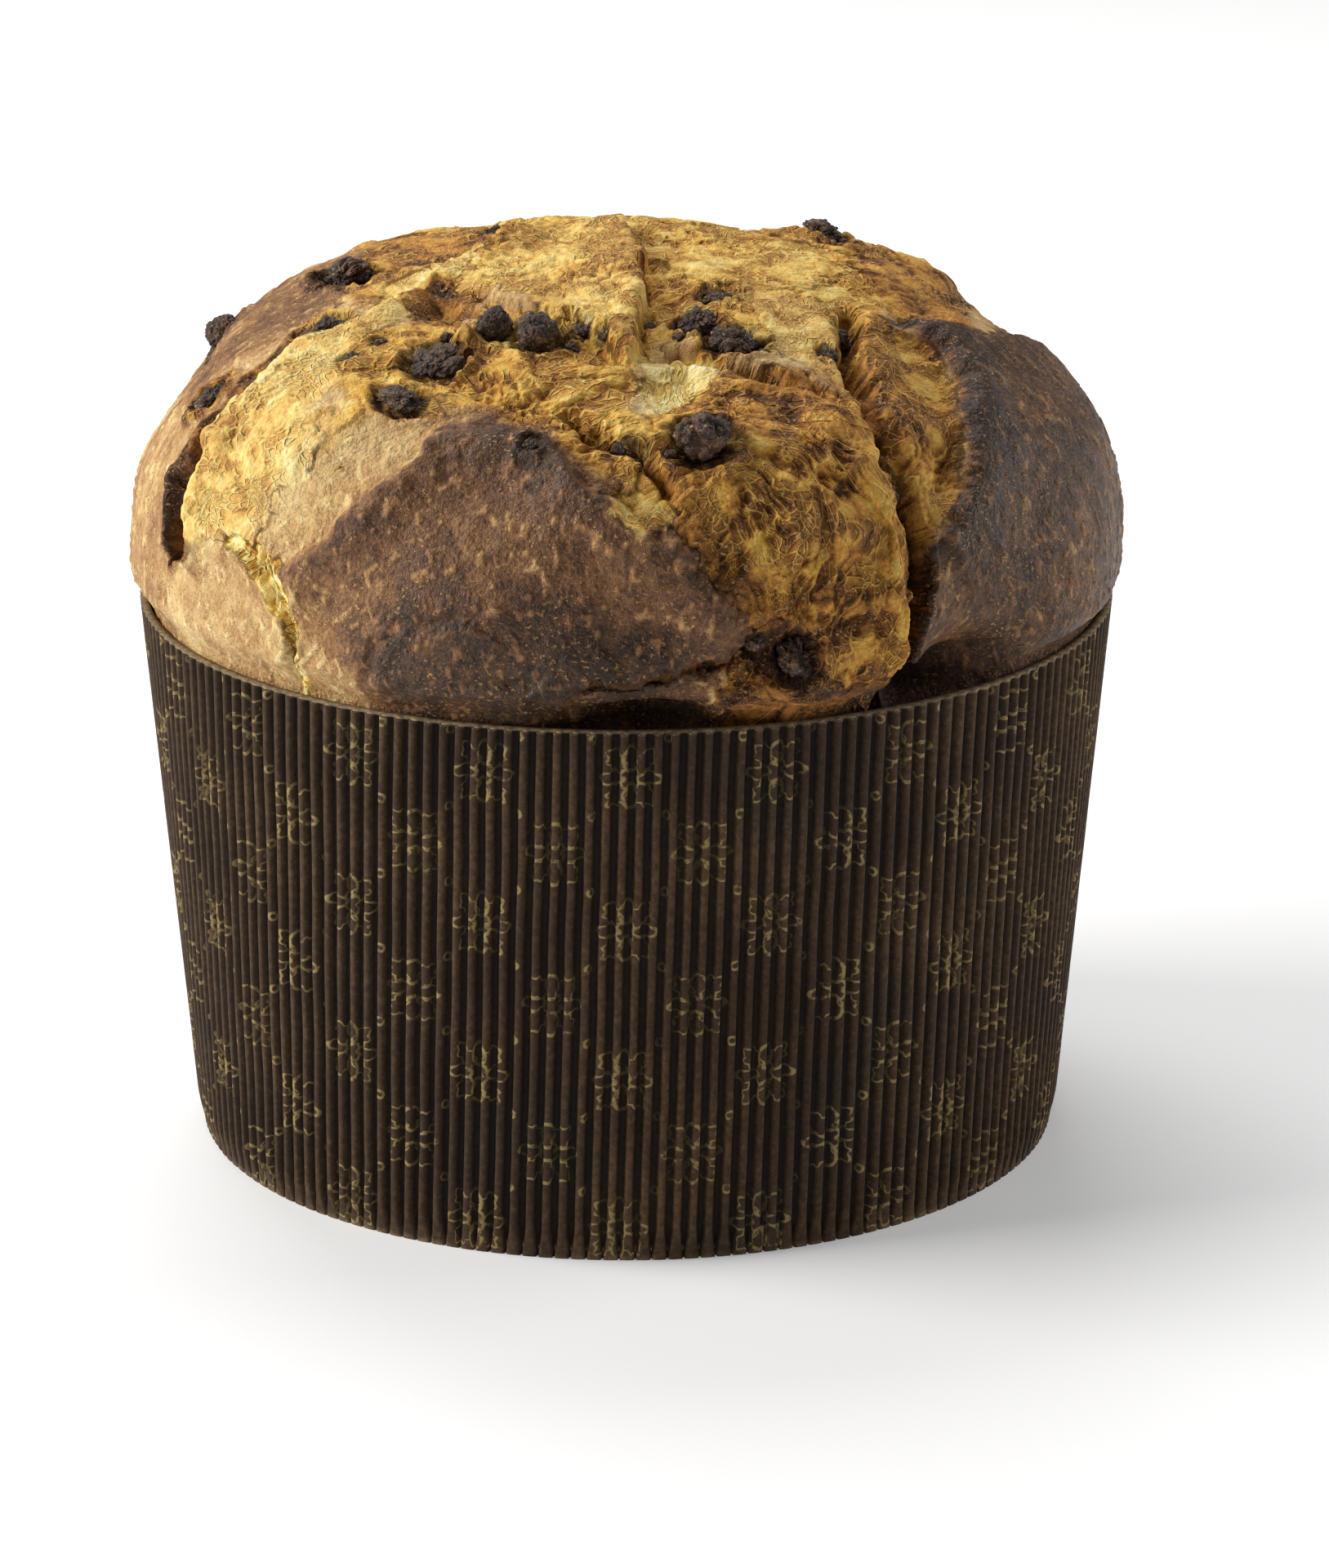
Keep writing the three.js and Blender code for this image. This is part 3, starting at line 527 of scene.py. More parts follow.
def finish_mesh(name, mesh, material, node=None, smooth=True):
    mesh.materials.clear()
    mesh.materials.append(material)
    mesh.polygons.foreach_set("use_smooth", [smooth] * len(mesh.polygons))
    piece = bpy.data.objects.new(name, mesh)
    bpy.context.scene.collection.objects.link(piece)
    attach(piece, "root")
    if node:
        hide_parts(node)
    return piece


def add_attribute(mesh, name, values):
    attribute = mesh.attributes.new(name, "FLOAT", "POINT")
    attribute.data.foreach_set("value", np.asarray(values, np.float32))


def paint_looks(mesh, looks, warp, here):
    """The crust's looks and grain on a mesh: here says which place each vertex has."""
    for look, values in looks.items():
        add_attribute(mesh, look, values[here])
    corner = np.empty(len(mesh.loops), np.int32)
    mesh.loops.foreach_get("vertex_index", corner)
    grain = mesh.uv_layers.new(name="grain")
    grain.data.foreach_set("uv", (np.stack(warp, -1)[here][corner] / MAP_STEP).ravel())


def square_to_disc(x, y):
    """A square grid laid on a disc, ring by ring."""
    ring = np.maximum(np.abs(x), np.abs(y))
    wide = np.abs(x) > np.abs(y)
    with np.errstate(divide="ignore", invalid="ignore"):
        angle = np.where(wide, y / x * math.pi / 4, math.pi / 2 - x / y * math.pi / 4)
    angle = np.where(ring > 0, angle, 0)
    sign = np.where(wide, np.sign(x), np.sign(y))
    return sign * ring * np.cos(angle), sign * ring * np.sin(angle)


def outward(points):
    """The way out of the loaf at each point of a grid of them."""
    normals = np.cross(np.gradient(points, axis=0), np.gradient(points, axis=1))
    return normals / np.linalg.norm(normals, axis=2, keepdims=True)


def softened(values, reach):
    """Values on a grid, each averaged with those up to reach cells away."""
    for axis in (0, 1):
        values = sum(np.roll(values, k, axis) for k in range(-reach, reach + 1)) / (2 * reach + 1)
    return values


def make_crust(material):
    """The crust in four sheets that meet edge to edge and are shaded as one."""
    line = np.linspace(-1, 1, SKIN_CELLS + 1)
    y, x = np.meshgrid(line, line)
    disc_x, disc_y = square_to_disc(x, y - FRONT_CROWDING * (1 - y * y))
    places = disc_x.ravel() * SKIN_REACH, -disc_y.ravel() * SKIN_REACH
    points, looks, warp = crust_points(*places)
    points = points.reshape(SKIN_CELLS + 1, SKIN_CELLS + 1, 3)

    # The baked skin has peeled up a little where the crumb beside it is torn.
    torn = looks["torn"].reshape(points.shape[:2])
    peeled = (smooth_step(0.1, 0.5, softened(torn, 4)) * (1 - torn)).clip(0, 1)
    peeled[points[..., 2] < BELLY_HEIGHT] = 0
    points += outward(points) * (peeled * PEEL_HEIGHT)[..., None]
    looks["baked"] = (looks["baked"] + 0.12 * peeled.ravel()).clip(0, 1)
    normals = outward(points)

    half = SKIN_CELLS // 2
    for name, start_x, start_y in (
        ("crust_front_left", 0, 0), ("crust_front_right", half, 0),
        ("crust_back_left", 0, half), ("crust_back_right", half, half),
    ):
        bm = bmesh.new()
        bmesh.ops.create_grid(bm, x_segments=half, y_segments=half, size=half / 2)
        flat = np.array([v.co[:2] for v in bm.verts]) + half / 2
        i = np.rint(flat[:, 0]).astype(int) + start_x
        j = np.rint(flat[:, 1]).astype(int) + start_y
        for vert, point in zip(bm.verts, points[i, j]):
            vert.co = point * MM
        mesh = bpy.data.meshes.new(name)
        bm.to_mesh(mesh)
        bm.free()
        paint_looks(mesh, looks, warp, i * (SKIN_CELLS + 1) + j)
        finish_mesh(name, mesh, material, "bread")
        mesh.normals_split_custom_set_from_vertices(normals[i, j].tolist())


def make_body(material):
    """The plain loaf inside the mould, closed all round."""
    bm = bmesh.new()
    bmesh.ops.create_cone(
        bm, cap_ends=True, segments=192, radius1=loaf_radius(LOAF_FLOOR) * MM,
        radius2=loaf_radius(SKIN_BOTTOM) * MM, depth=(SKIN_BOTTOM - LOAF_FLOOR) * MM,
    )
    bmesh.ops.translate(bm, vec=(0, 0, (SKIN_BOTTOM + LOAF_FLOOR) / 2 * MM), verts=bm.verts)
    return finish_piece("loaf_body", bm, material, "bread", smooth=False)


def strand_paths(draw):
    """Places along each torn strand on the unrolled skin."""
    outlines = {name: outline for name, outline, *rest in PATCHES}
    paths = []
    for name, count, longest, pivot, degrees in STRANDS:
        outline = np.array(outlines[name], float)
        made = 0
        while made < count:
            start = draw.uniform(outline.min(0), outline.max(0))
            if within(outlines[name], start[:1], start[1:])[0] < 1:
                continue
            if pivot:
                turn = math.atan2(start[0] - pivot[0], pivot[1] - start[1])
            else:
                turn = math.radians(degrees)
            turn += draw.normal() * 0.22
            step = longest * draw.uniform(0.35, 1) / STRAND_STEPS
            bend = draw.normal() * 0.06
            if pivot:
                bend += step / max(np.hypot(*(start - pivot)), 8)
            place, path = start.copy(), []
            for _ in range(STRAND_STEPS + 1):
                path.append(place.copy())
                place += step * np.array([math.cos(turn), math.sin(turn)])
                turn += bend + draw.normal() * 0.05
            paths.append(path)
            made += 1
    return np.array(paths)


def make_strands(material):
    """Thin torn strands that follow the crumb and lift off it in the middle."""
    draw = np.random.default_rng(301)
    paths = strand_paths(draw)
    share = np.linspace(0, 1, STRAND_STEPS + 1)
    rise = draw.uniform(0, 0.3, (len(paths), 1)) ** 1.5 * np.sin(math.pi * share)
    points, looks, warp = crust_points(paths[..., 0].ravel(), paths[..., 1].ravel())
    points = points.reshape(*paths.shape[:2], 3)
    for _ in range(2):
        points[:, 1:-1] = (points[:, :-2] + points[:, 1:-1] + points[:, 2:]) / 3
    from_heart = points - np.array([0, 0, HEART_HEIGHT])
    out = from_heart / np.linalg.norm(from_heart, axis=2, keepdims=True)
    points += out * (rise + 0.04)[..., None]
    across = np.cross(out, np.gradient(points, axis=1))
    across /= np.linalg.norm(across, axis=2, keepdims=True)
    thick = draw.uniform(0.06, 0.13, (len(paths), 1)) * np.sin(math.pi * share.clip(0.04, 0.96)) ** 0.5

    # One straight tube, repeated and laid along each path.
    bm = bmesh.new()
    bmesh.ops.create_cone(bm, cap_ends=True, segments=5, radius1=1, radius2=1, depth=1)
    lengthwise = [edge for edge in bm.edges if abs(edge.verts[0].co.z - edge.verts[1].co.z) > 0.5]
    bmesh.ops.subdivide_edges(bm, edges=lengthwise, cuts=STRAND_STEPS - 1, use_grid_fill=True)
    tube = bpy.data.meshes.new("one_strand")
    bm.to_mesh(tube)
    for _ in paths[1:]:
        bm.from_mesh(tube)
    bpy.data.meshes.remove(tube)
    around = np.array([vert.co for vert in bm.verts]).reshape(len(paths), -1, 3)[0]
    level = np.rint((around[:, 2] + 0.5) * STRAND_STEPS).astype(int)
    skin = points[:, level] + thick[:, level, None] * (
        around[:, 0, None] * across[:, level] * 1.5 + around[:, 1, None] * out[:, level]
    )
    for vert, place in zip(bm.verts, skin.reshape(-1, 3) * MM):
        vert.co = place
    bmesh.ops.recalc_face_normals(bm, faces=bm.faces)
    mesh = bpy.data.meshes.new("torn_strands")
    bm.to_mesh(mesh)
    bm.free()

    # Each strand is a little paler or darker than the crumb under it.
    shade = np.repeat(draw.normal(size=(len(paths), 1)) * 0.08 - 0.02, STRAND_STEPS + 1, axis=1).ravel()
    looks["baked"] = (looks["baked"] + shade).clip(0.1, 1)
    # The strands take half of the painted shade under them, and a little painted highlight.
    looks["hollow"] = looks["hollow"] * 0.5 - 0.05
    looks["groove"] = looks["groove"] * 0.5
    looks["torn"] = np.ones(len(shade))
    first = np.arange(len(paths))[:, None] * (STRAND_STEPS + 1)
    paint_looks(mesh, looks, warp, (first + level).ravel())
    return finish_mesh("torn_strands", mesh, material)


def outward_frame(centre):
    """A turn whose third axis points out of the loaf at that point."""
    out = Vector((centre.x, centre.y, max(centre.z - HEART_HEIGHT * MM, MM) * 1.25)).normalized()
    across = Vector((0, 0, 1)).cross(out).normalized()
    return Matrix((across, out.cross(across), out)).transposed()


def craggy_ball(centre, halves, roundness, seed, detail):
    """A lump of crumbs stuck together, or a rough bead."""
    bm = bmesh.new()
    bmesh.ops.create_icosphere(bm, subdivisions=detail, radius=1)
    draw = np.random.default_rng(seed)
    directions = np.array([v.co for v in bm.verts])
    waves = draw.normal(size=(3, 3)) * 2
    reach = 0.84 + 0.07 * np.sin(directions @ waves + draw.uniform(0, 6.28, 3)).sum(1) * (1 - 0.5 * roundness)
    for count, step in (
        (12, 0.26 - 0.26 * roundness), (60, 0.15 - 0.12 * roundness), (340, 0.07 - 0.03 * roundness),
    ):
        crumbs = draw.normal(size=(count, 3))
        crumbs /= np.linalg.norm(crumbs, axis=1)[:, None]
        away = np.arccos(np.clip(directions @ crumbs.T, -1, 1)) * math.sqrt(count) / 2
        nearest = away.argmin(1)
        first, second = np.partition(away, 1, axis=1)[:, :2].T
        edge = smooth_step(0, 0.5, second - first)
        level = draw.uniform(-0.5, 0.5, count)[nearest]
        reach += step * ((level + 0.5 * (1 - first**2)) * edge - 0.4 * (1 - edge))
    reach = reach.clip(0.45, 1.1)
    turn = outward_frame(centre)
    for vert, direction, far in zip(bm.verts, directions, reach):
        vert.co = centre + turn @ Vector([c * h * MM * far for c, h in zip(direction, halves)])
    return bm


def make_chocolate(material):
    for number, halves in LUMP_HALVES.items():
        node = f"chocolate_{number:02d}"
        low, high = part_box(node)
        bm = craggy_ball((low + high) / 2, halves, SMOOTH_LUMPS.get(number, 0), number, 6)
        finish_piece(f"lump_{number:02d}", bm, material, node)
    chips = bpy.data.meshes.new("chips")
    together = bmesh.new()
    for number, ((right, front), halves) in enumerate(CHIPS):
        points = crust_points(np.array([float(right)]), np.array([float(front)]), 0.1)[0]
        bm = craggy_ball(Vector(points[0] * MM), halves, 0, 100 + number, 5)
        bm.to_mesh(chips)
        bm.free()
        together.from_mesh(chips)
    bpy.data.meshes.remove(chips)
    finish_piece("chocolate_chips", together, material)


def make_wall(material):
    """The wall's sheet, cut as part of a ring, with its flutes parallel on the flat sheet."""
    slant = math.hypot(WALL_HEIGHT, RIM_RADIUS - BASE_RADIUS)
    flare = (RIM_RADIUS - BASE_RADIUS) / slant
    half_sheet = RIM_RADIUS / flare * math.sin(math.pi * flare)
    half_pitch = half_sheet / HALF_FLUTES_AT_RIM
    foot_top = 8
    lip = 0.45
    crest_end, valley_start = 0.34, 0.72
    levels = np.concatenate([
        np.linspace(0, foot_top, 7), np.linspace(foot_top, WALL_HEIGHT - 2.5, 17)[1:],
        WALL_HEIGHT - np.array([1.2, 2 * lip, lip, 0]),
    ])
    bm = bmesh.new()
    bmesh.ops.create_grid(
        bm, x_segments=HALF_FLUTES_AT_RIM * COLUMNS_PER_FLUTE, y_segments=len(levels) - 1, size=1
    )
    flat = np.array([v.co[:2] for v in bm.verts])
    side, halves = np.sign(flat[:, 0]), np.abs(flat[:, 0]) * HALF_FLUTES_AT_RIM
    past = np.maximum(0, halves - HALF_FLUTES_AT_BASE)
    lowest = WALL_HEIGHT * past / (HALF_FLUTES_AT_RIM - HALF_FLUTES_AT_BASE)
    level = levels[np.rint((flat[:, 1] + 1) / 2 * (len(levels) - 1)).astype(int)]
    z = lowest + (1 - lowest / WALL_HEIGHT) * level

    # From a crest at 0 to the middle of a valley at 1. At the foot the crests are pressed wide.
    count = np.floor(halves + 1e-6)
    share = np.clip(halves - count, 0, 1)
    from_crest = np.where(count % 2 == 0, share, 1 - share)
    wobble = cloudy(side * halves * half_pitch, z, 14, 201)
    pressed = smooth_step(foot_top - 0.5, 0.5, z) ** 1.5
    crest = crest_end + 0.5 * pressed
    valley = smooth_step(crest, valley_start + 0.28 * pressed, from_crest)
    at_lip = smooth_step(WALL_HEIGHT - 1.5 * lip, WALL_HEIGHT - lip, z)
    depth = FLUTE_DEPTH * valley * (1 - 0.85 * at_lip) + 0.1 * (from_crest / crest).clip(0, 1) ** 2
    inset = depth + 0.7 * pressed + 0.06 * np.abs(wobble)
    across = side * halves * half_pitch
    azimuth = np.arcsin(np.clip(across / (wall_radius(z) / flare), -1, 1)) / flare
    inward = smooth_step(math.pi, math.pi * 0.97, np.abs(azimuth))
    azimuth = azimuth + 0.0016 * wobble * inward + STRAIGHT_FLUTE
    radius = wall_radius(z) - inset
    place = np.stack([radius * np.sin(azimuth), -radius * np.cos(azimuth), z], -1)
    for vert, point in zip(bm.verts, place):
        vert.co = point * MM

    # The print follows the sheet down each flute's sides, so they cut it up.
    run = half_pitch + FLUTE_DEPTH
    into = half_pitch * from_crest + FLUTE_DEPTH * smooth_step(crest_end, valley_start, from_crest)
    sheet = count * run + np.where(count % 2 == 0, into, run - into)
    seen = side * sheet * half_pitch / run
    uv = bm.loops.layers.uv.new("print")
    bm.verts.index_update()
    for face in bm.faces:
        for loop in face.loops:
            i = loop.vert.index
            loop[uv].uv = (seen[i] / MAP_STEP, z[i] / MAP_STEP)
    cut_edge = bm.verts.layers.float.new("cut_edge")
    # Each point's depth into a valley, which the paper's colour uses as painted shade.
    valley_shade = bm.verts.layers.float.new("valley_shade")
    bare = at_lip + smooth_step(0.9, 0.1, z) * smooth_step(-0.3, 0.5, wobble) * 0.6
    for i, vert in enumerate(bm.verts):
        vert[cut_edge] = bare[i]
        vert[valley_shade] = valley[i]
    bmesh.ops.remove_doubles(bm, verts=bm.verts, dist=2e-6)

    # The lip and the liner inside, down to the base.
    def loop_at(height):
        return [e for e in bm.edges if e.is_boundary and abs(e.verts[0].co.z - height) < 1e-5]

    def stepped(edges, depth_in, height):
        made = bmesh.ops.extrude_edge_only(bm, edges=edges)["geom"]
        for vert in (g for g in made if isinstance(g, bmesh.types.BMVert)):
            out = Vector((vert.co.x, vert.co.y, 0)).normalized()
            vert.co = out * (wall_radius(height) - depth_in) * MM + Vector((0, 0, height * MM))
        return [g for g in made if isinstance(g, bmesh.types.BMEdge)]

    below_lip = WALL_HEIGHT - 8
    inner = stepped(loop_at(WALL_HEIGHT * MM), WALL_THICKNESS, WALL_HEIGHT)
    inner = stepped(inner, WALL_THICKNESS, below_lip)
    foot = stepped(loop_at(0), WALL_THICKNESS, 0)
    bmesh.ops.bridge_loops(bm, edges=inner + foot)
    bmesh.ops.recalc_face_normals(bm, faces=bm.faces)
    return finish_piece("fluted_wall", bm, material, "paper_wall")


def make_base(material):
    low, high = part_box("paper_base")
    bm = bmesh.new()
    bmesh.ops.create_cone(
        bm, cap_ends=True, segments=128, radius1=high.x, radius2=high.x, depth=high.z - low.z
    )
    bmesh.ops.translate(bm, vec=(0, 0, (low.z + high.z) / 2), verts=bm.verts)
    return finish_piece("base_disc", bm, material, "paper_base", smooth=False)


# Materials.
def linear(red, green, blue):
    """A colour as seen on a screen, 0 to 255, turned to light."""
    return tuple(
        c / 12.92 if c <= 0.04045 else ((c + 0.055) / 1.055) ** 2.4
        for c in (red / 255, green / 255, blue / 255)
    ) + (1.0,)


class Level:
    """A number in a node tree, so that a formula can be written as one."""

    def __init__(self, tree, socket):
        self.tree = tree
        self.socket = socket

    def make(self, operation, *others, clamp=False):
        node = self.tree.nodes.new("ShaderNodeMath")
        node.operation = operation
        node.use_clamp = clamp
        for socket, value in zip(node.inputs, (self, *others)):
            plug(self.tree, value, socket)
        return Level(self.tree, node.outputs[0])

    def __add__(self, other):
        return self.make("ADD", other)

    def __sub__(self, other):
        return self.make("SUBTRACT", other)

    def __mul__(self, other):
        return self.make("MULTIPLY", other)

    def __truediv__(self, other):
        return self.make("DIVIDE", other)

    def size(self):
        return self.make("ABSOLUTE")

    def step(self, low, high):
        """From 0 at low to 1 at high, smoothly."""
        node = self.tree.nodes.new("ShaderNodeMapRange")
        node.interpolation_type = "SMOOTHSTEP"
        plug(self.tree, self, node.inputs["Value"])
        node.inputs["From Min"].default_value = low
        node.inputs["From Max"].default_value = high
        return Level(self.tree, node.outputs["Result"])


def plug(tree, value, socket):
    if isinstance(value, Level):
        tree.links.new(value.socket, socket)
    elif hasattr(value, "is_output"):
        tree.links.new(value, socket)
    else:
        socket.default_value = value


def stretched(tree, place, stretch):
    node = tree.nodes.new("ShaderNodeMapping")
    tree.links.new(place, node.inputs["Vector"])
    node.inputs["Scale"].default_value = stretch
    return node.outputs["Vector"]


def attribute(tree, name):
    node = tree.nodes.new("ShaderNodeAttribute")
    node.attribute_name = name
    return Level(tree, node.outputs["Fac"])


def noise_level(tree, place, scale, detail=3, rough=0.5, stretch=(1, 1, 1), flat=False):
    node = tree.nodes.new("ShaderNodeTexNoise")
    node.noise_dimensions = "2D" if flat else "3D"
    tree.links.new(stretched(tree, place, stretch), node.inputs["Vector"])
    node.inputs["Scale"].default_value = scale
    node.inputs["Detail"].default_value = detail
    node.inputs["Roughness"].default_value = rough
    return Level(tree, node.outputs["Fac"])


def cells(tree, place, scale, stretch=(1, 1, 1)):
    """Distance from the walls between scattered cells on an unrolled skin."""
    node = tree.nodes.new("ShaderNodeTexVoronoi")
    node.voronoi_dimensions = "2D"
    node.feature = "DISTANCE_TO_EDGE"
    tree.links.new(stretched(tree, place, stretch), node.inputs["Vector"])
    node.inputs["Scale"].default_value = scale
    return Level(tree, node.outputs["Distance"])


def blend(tree, share, under, over, mode="MIX"):
    node = tree.nodes.new("ShaderNodeMix")
    node.data_type = "RGBA"
    node.blend_type = mode
    plug(tree, share, node.inputs[0])
    plug(tree, under, node.inputs[6])
    plug(tree, over, node.inputs[7])
    return node.outputs[2]


def ramp(tree, level, stops):
    node = tree.nodes.new("ShaderNodeValToRGB")
    plug(tree, level, node.inputs[0])
    elements = node.color_ramp.elements
    while len(elements) < len(stops):
        elements.new(0.5)
    for element, (position, colour) in zip(elements, stops):
        element.position = position
        element.color = linear(*colour)
    return node.outputs[0]


def bumped(tree, shader, height, distance, strength=1.0):
    node = tree.nodes.new("ShaderNodeBump")
    plug(tree, height, node.inputs["Height"])
    node.inputs["Distance"].default_value = distance
    node.inputs["Strength"].default_value = strength
    tree.links.new(node.outputs["Normal"], shader.inputs["Normal"])


def new_material(name):
    material = bpy.data.materials.new(name)
    material.use_nodes = True
    tree = material.node_tree
    return material, tree, tree.nodes["Principled BSDF"]


def object_place(tree):
    return tree.nodes.new("ShaderNodeTexCoord").outputs["Object"]


def uv_place(tree, name):
    node = tree.nodes.new("ShaderNodeUVMap")
    node.uv_map = name
    return node.outputs["UV"]


def baked_bread():
    material, tree, shader = new_material("baked bread")
    place = object_place(tree)
    grain = uv_place(tree, "grain")
    baked = attribute(tree, "baked")
    torn = attribute(tree, "torn").step(0.1, 0.7)
    groove = attribute(tree, "groove")
    hollow = attribute(tree, "hollow")
    stain = attribute(tree, "stain")

    fine = noise_level(tree, place, 1300, 2, 0.6)
    medium = noise_level(tree, place, 330, 3, 0.62)
    fibres = noise_level(tree, grain, 110, 2, 0.6, (1.0, 0.35, 1), flat=True)
    blotch = noise_level(tree, place, 60, 3, 0.62)
    patchy = noise_level(tree, place, 130, 2)
    wander = (fine - 0.5) * 0.36 + (medium - 0.5) * 0.42 + (blotch - 0.5) * (torn * 0.14 + 0.36)
    stringy = (fibres - 0.5) * torn * 0.2
    # The sponge's holes in the torn crumb are sunk by the bump and painted darker as shade. The level also
    # takes the painted shade and highlight from the mesh.
    sponge = cells(tree, grain, 70, (1, 0.65, 1)).step(0.04, 0.2) * patchy.step(0.42, 0.55) * torn
    level = baked + wander + stringy + hollow * 0.42 + sponge * 0.2 - torn * 0.08
    crust_colour = ramp(tree, level, [
        (0.0, (250, 240, 202)), (0.16, (238, 220, 170)), (0.32, (222, 196, 136)), (0.45, (206, 175, 122)),
        (0.56, (184, 147, 96)), (0.66, (157, 116, 73)), (0.76, (126, 88, 57)), (0.88, (89, 60, 39)),
        (1.0, (54, 38, 27)),
    ])
    crumb_colour = ramp(tree, level, [
        (0.0, (248, 234, 178)), (0.14, (237, 213, 132)), (0.28, (225, 187, 94)), (0.42, (206, 154, 64)),
        (0.56, (173, 116, 47)), (0.72, (121, 76, 33)), (0.9, (62, 39, 21)),
    ])
    colour = blend(tree, torn, crust_colour, crumb_colour)

    # Golden flecks and dark pores in the baked skin, thicker in some places than in others.
    thick = patchy.step(0.35, 0.65) * 0.75 + 0.25
    fleck = noise_level(tree, place, 1200, 2, 0.5, (1, 1, 1.3)).step(0.58, 0.64)
    light = fleck * thick * baked.step(0.3, 0.6)
    pale = blend(tree, baked.step(0.5, 0.9), linear(240, 208, 146), linear(196, 150, 90))
    colour = blend(tree, light * 0.62, colour, pale)
    pore = fine.step(0.41, 0.33) * thick
    colour = blend(tree, pore * 0.45, colour, linear(62, 38, 22))

    # Painted shade: holes and ledge feet in the crumb are darker, and cracks turn orange-brown down their
    # walls and nearly black in their depths. The crumb is stained beside the chocolate.
    colour = blend(tree, hollow.step(0.25, 0.9) * torn * 0.6, colour, linear(120, 68, 26))
    colour = blend(tree, groove.step(1.5, 6) * 0.5, colour, linear(150, 86, 34))
    colour = blend(tree, groove.step(4, 8) * 0.92, colour, linear(34, 20, 12))
    smear = stain * (medium.step(0.35, 0.6) * 0.6 + 0.3)
    colour = blend(tree, smear, colour, linear(62, 42, 30))
    plug(tree, colour, shader.inputs["Base Color"])

    sheen = baked.step(0.6, 0.95)
    plug(tree, sheen * -0.3 + 0.76 + (medium - 0.5) * 0.3, shader.inputs["Roughness"])
    shader.inputs["Specular IOR Level"].default_value = 0.27
    relief = fine * 0.5 + medium * 0.6 + fibres * torn * 0.2 + light * 0.5 - sponge * 0.7
    bumped(tree, shader, relief, 0.0009, 1.0)
    return material


def dark_chocolate():
    material, tree, shader = new_material("baked chocolate")
    place = object_place(tree)
    fine = noise_level(tree, place, 900, 4, 0.62)
    broad = noise_level(tree, place, 220, 3)
    colour = ramp(tree, fine * 0.55 + broad * 0.45, [
        (0.34, (30, 21, 16)), (0.46, (56, 40, 30)), (0.56, (92, 67, 50)), (0.68, (150, 116, 84)),
    ])
    fleck = noise_level(tree, place, 1500, 2).step(0.62, 0.68)
    crumb = fleck * noise_level(tree, place, 300, 2).step(0.5, 0.58)
    colour = blend(tree, crumb * 0.8, colour, linear(206, 164, 104))
    plug(tree, colour, shader.inputs["Base Color"])
    plug(tree, fine * 0.5 + 0.22, shader.inputs["Roughness"])
    bumped(tree, shader, fine * 1.4 + broad, 0.0009, 1.0)
    return material


def printed_paper():
    material, tree, shader = new_material("printed brown paper")
    place = object_place(tree)
    fibre = noise_level(tree, place, 800, 4, 0.65)
    broad = noise_level(tree, place, 40, 2)
    paper = ramp(tree, fibre * 0.6 + broad * 0.4, [
        (0.32, (40, 27, 16)), (0.5, (62, 45, 28)), (0.68, (92, 70, 46)),
    ])
    ink = ornament(tree, uv_place(tree, "print"))
    worn = noise_level(tree, place, 900, 3).step(0.3, 0.55)
    colour = blend(tree, ink * worn * 0.85, paper, linear(150, 130, 84))
    # Painted shade: the flutes' valleys are painted nearly black.
    painted_valley_shade = attribute(tree, "valley_shade")
    colour = blend(tree, painted_valley_shade * 0.8, colour, linear(12, 7, 4))
    edge = attribute(tree, "cut_edge") * (fibre - 0.2) * 1.5
    colour = blend(tree, edge, colour, linear(168, 146, 112))
    plug(tree, colour, shader.inputs["Base Color"])
    shader.inputs["Roughness"].default_value = 0.75
    shader.inputs["Specular IOR Level"].default_value = 0.25
    bumped(tree, shader, fibre, 0.0003, 0.6)
    return material


def ornament(tree, place):
    """Ink of a rosette repeated in staggered columns, with small rings between."""
    column_gap, row_gap = 13.66, 30.5
    split = tree.nodes.new("ShaderNodeSeparateXYZ")
    tree.links.new(place, split.inputs[0])
    across = Level(tree, split.outputs[0]) * 100 + (1000 * column_gap + 9.3)
    up = Level(tree, split.outputs[1]) * 100 + 100.0
    column = (across / column_gap).make("FLOOR")
    odd = column.make("MODULO", 2)
    x = across - (column + 0.5) * column_gap
    shifted = up + odd * (row_gap / 2)
    y = shifted - ((shifted / row_gap).make("FLOOR") + 0.5) * row_gap
    x, y = x.size(), y.size()

    def oval(px, py, half_x, half_y, line):
        dx, dy = (x - px) / half_x, (y - py) / half_y
        edge = ((dx * dx + dy * dy).make("SQRT") - 1) * min(half_x, half_y)
        return edge.size().step(line, line * 0.5)

    line = 0.25
    ink = oval(0, 3.7, 1.3, 2.4, line)
    ink = ink.make("MAXIMUM", oval(3.4, 0, 2.1, 1.2, line))
    lean_x, lean_y = (x * 1.3 + y) * 0.7071 - 4.7, (y - x * 1.3) * 0.7071
    angle = lean_y.make("ARCTAN2", lean_x)
    teeth = (angle * 7).make("COSINE") * 0.13 + 1
    petal = ((lean_x * lean_x / 7.2 + lean_y * lean_y / 3.2).make("SQRT") - teeth) * 1.8
    ink = ink.make("MAXIMUM", petal.size().step(line, line * 0.5))
    ring = oval(column_gap / 2, 7.6, 0.55, 0.75, line)
    return ink.make("MAXIMUM", ring)


# Where the crumb lies open round the chocolate: place, half sizes across and along.
BEDS = [
    (unrolled(sum(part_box(f"chocolate_{number:02d}"), Vector()) / 2), halves[:2])
    for number, halves in LUMP_HALVES.items()
    if number != LUMP_IN_CRACK
] + [(place, halves[:2]) for place, halves in CHIPS]

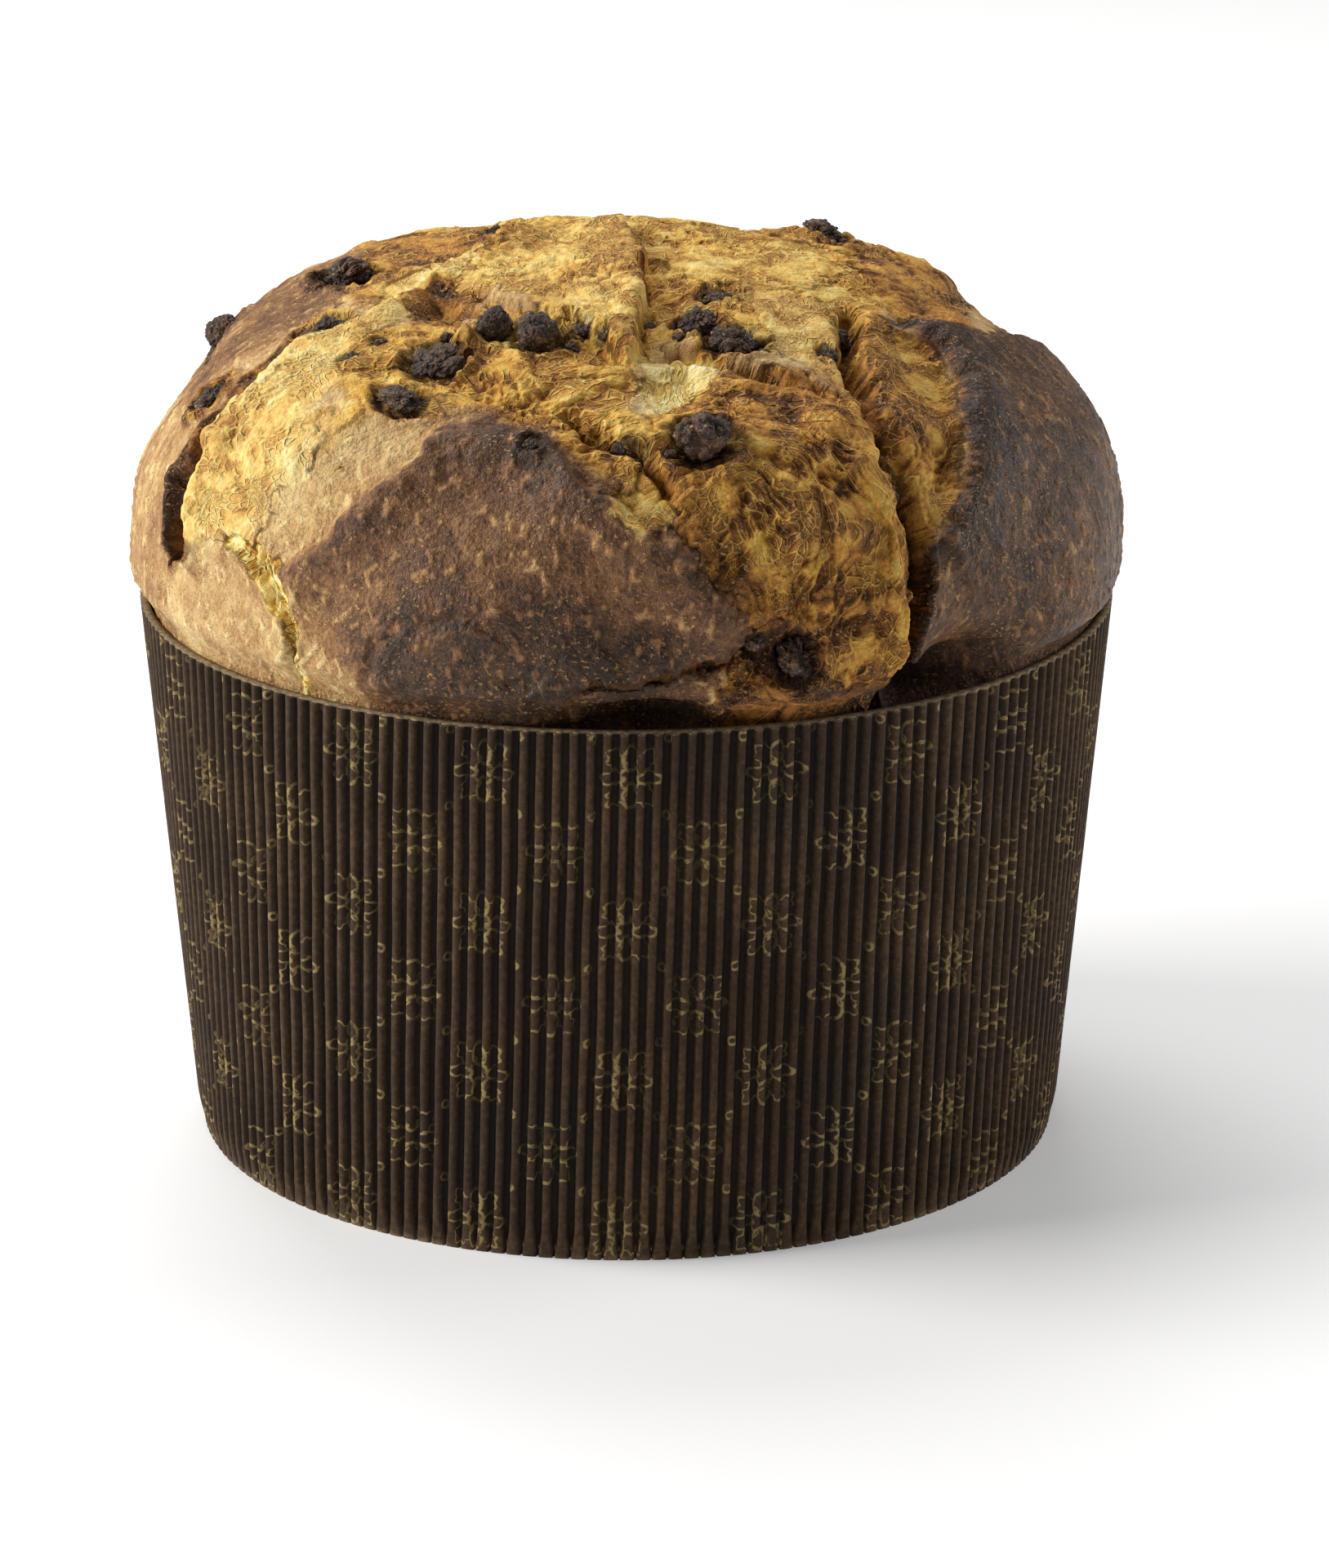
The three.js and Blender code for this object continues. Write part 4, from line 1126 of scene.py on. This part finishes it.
bread = baked_bread()
chocolate = dark_chocolate()
paper = printed_paper()
make_crust(bread)
make_body(bread)
make_strands(bread)
make_chocolate(chocolate)
make_wall(paper)
make_base(paper)


# Floor, lights and camera.
def make_floor():
    bm = bmesh.new()
    bmesh.ops.create_grid(bm, x_segments=1, y_segments=1, size=6)
    mesh = bpy.data.meshes.new("floor")
    bm.to_mesh(mesh)
    bm.free()
    material, tree, shader = new_material("pale floor")
    shader.inputs["Base Color"].default_value = linear(240, 240, 240)
    shader.inputs["Roughness"].default_value = 0.9
    shader.inputs["Emission Color"].default_value = linear(240, 240, 240)
    shader.inputs["Emission Strength"].default_value = 0.22
    mesh.materials.append(material)
    floor = bpy.data.objects.new("floor", mesh)
    bpy.context.scene.collection.objects.link(floor)


def make_light(name, place, aim, size, watts, colour=(1, 1, 1)):
    data = bpy.data.lights.new(name, "AREA")
    data.size = size
    data.energy = watts
    data.color = colour
    light = bpy.data.objects.new(name, data)
    light.location = place
    light.rotation_euler = (Vector(aim) - Vector(place)).to_track_quat("-Z", "Y").to_euler()
    bpy.context.scene.collection.objects.link(light)


make_floor()
make_light("left window", (-1.5, -0.12, 0.85), (0, 0, 0.1), 1.1, 34, (1, 0.985, 0.96))
make_light("top", (-0.2, 0.8, 1.5), (0, 0, 0.12), 0.9, 13)
make_light("right", (1.5, 0.45, 0.55), (0, 0, 0.1), 0.9, 10)
world = bpy.data.worlds.new("soft room")
world.use_nodes = True
world.node_tree.nodes["Background"].inputs["Color"].default_value = (1, 1, 1, 1)
world.node_tree.nodes["Background"].inputs["Strength"].default_value = 0.2
bpy.context.scene.world = world
bpy.context.scene.view_settings.view_transform = "Standard"

camera_data = bpy.data.cameras.new("camera")
camera_data.lens = 152.9
camera_data.sensor_width = 36
camera_data.clip_end = 30
camera = bpy.data.objects.new("camera", camera_data)
camera.location = (0.0074, -1.2431, 0.4784)
camera.rotation_euler = (math.radians(90 - 18.34), 0, 0)
bpy.context.scene.collection.objects.link(camera)
bpy.context.scene.camera = camera
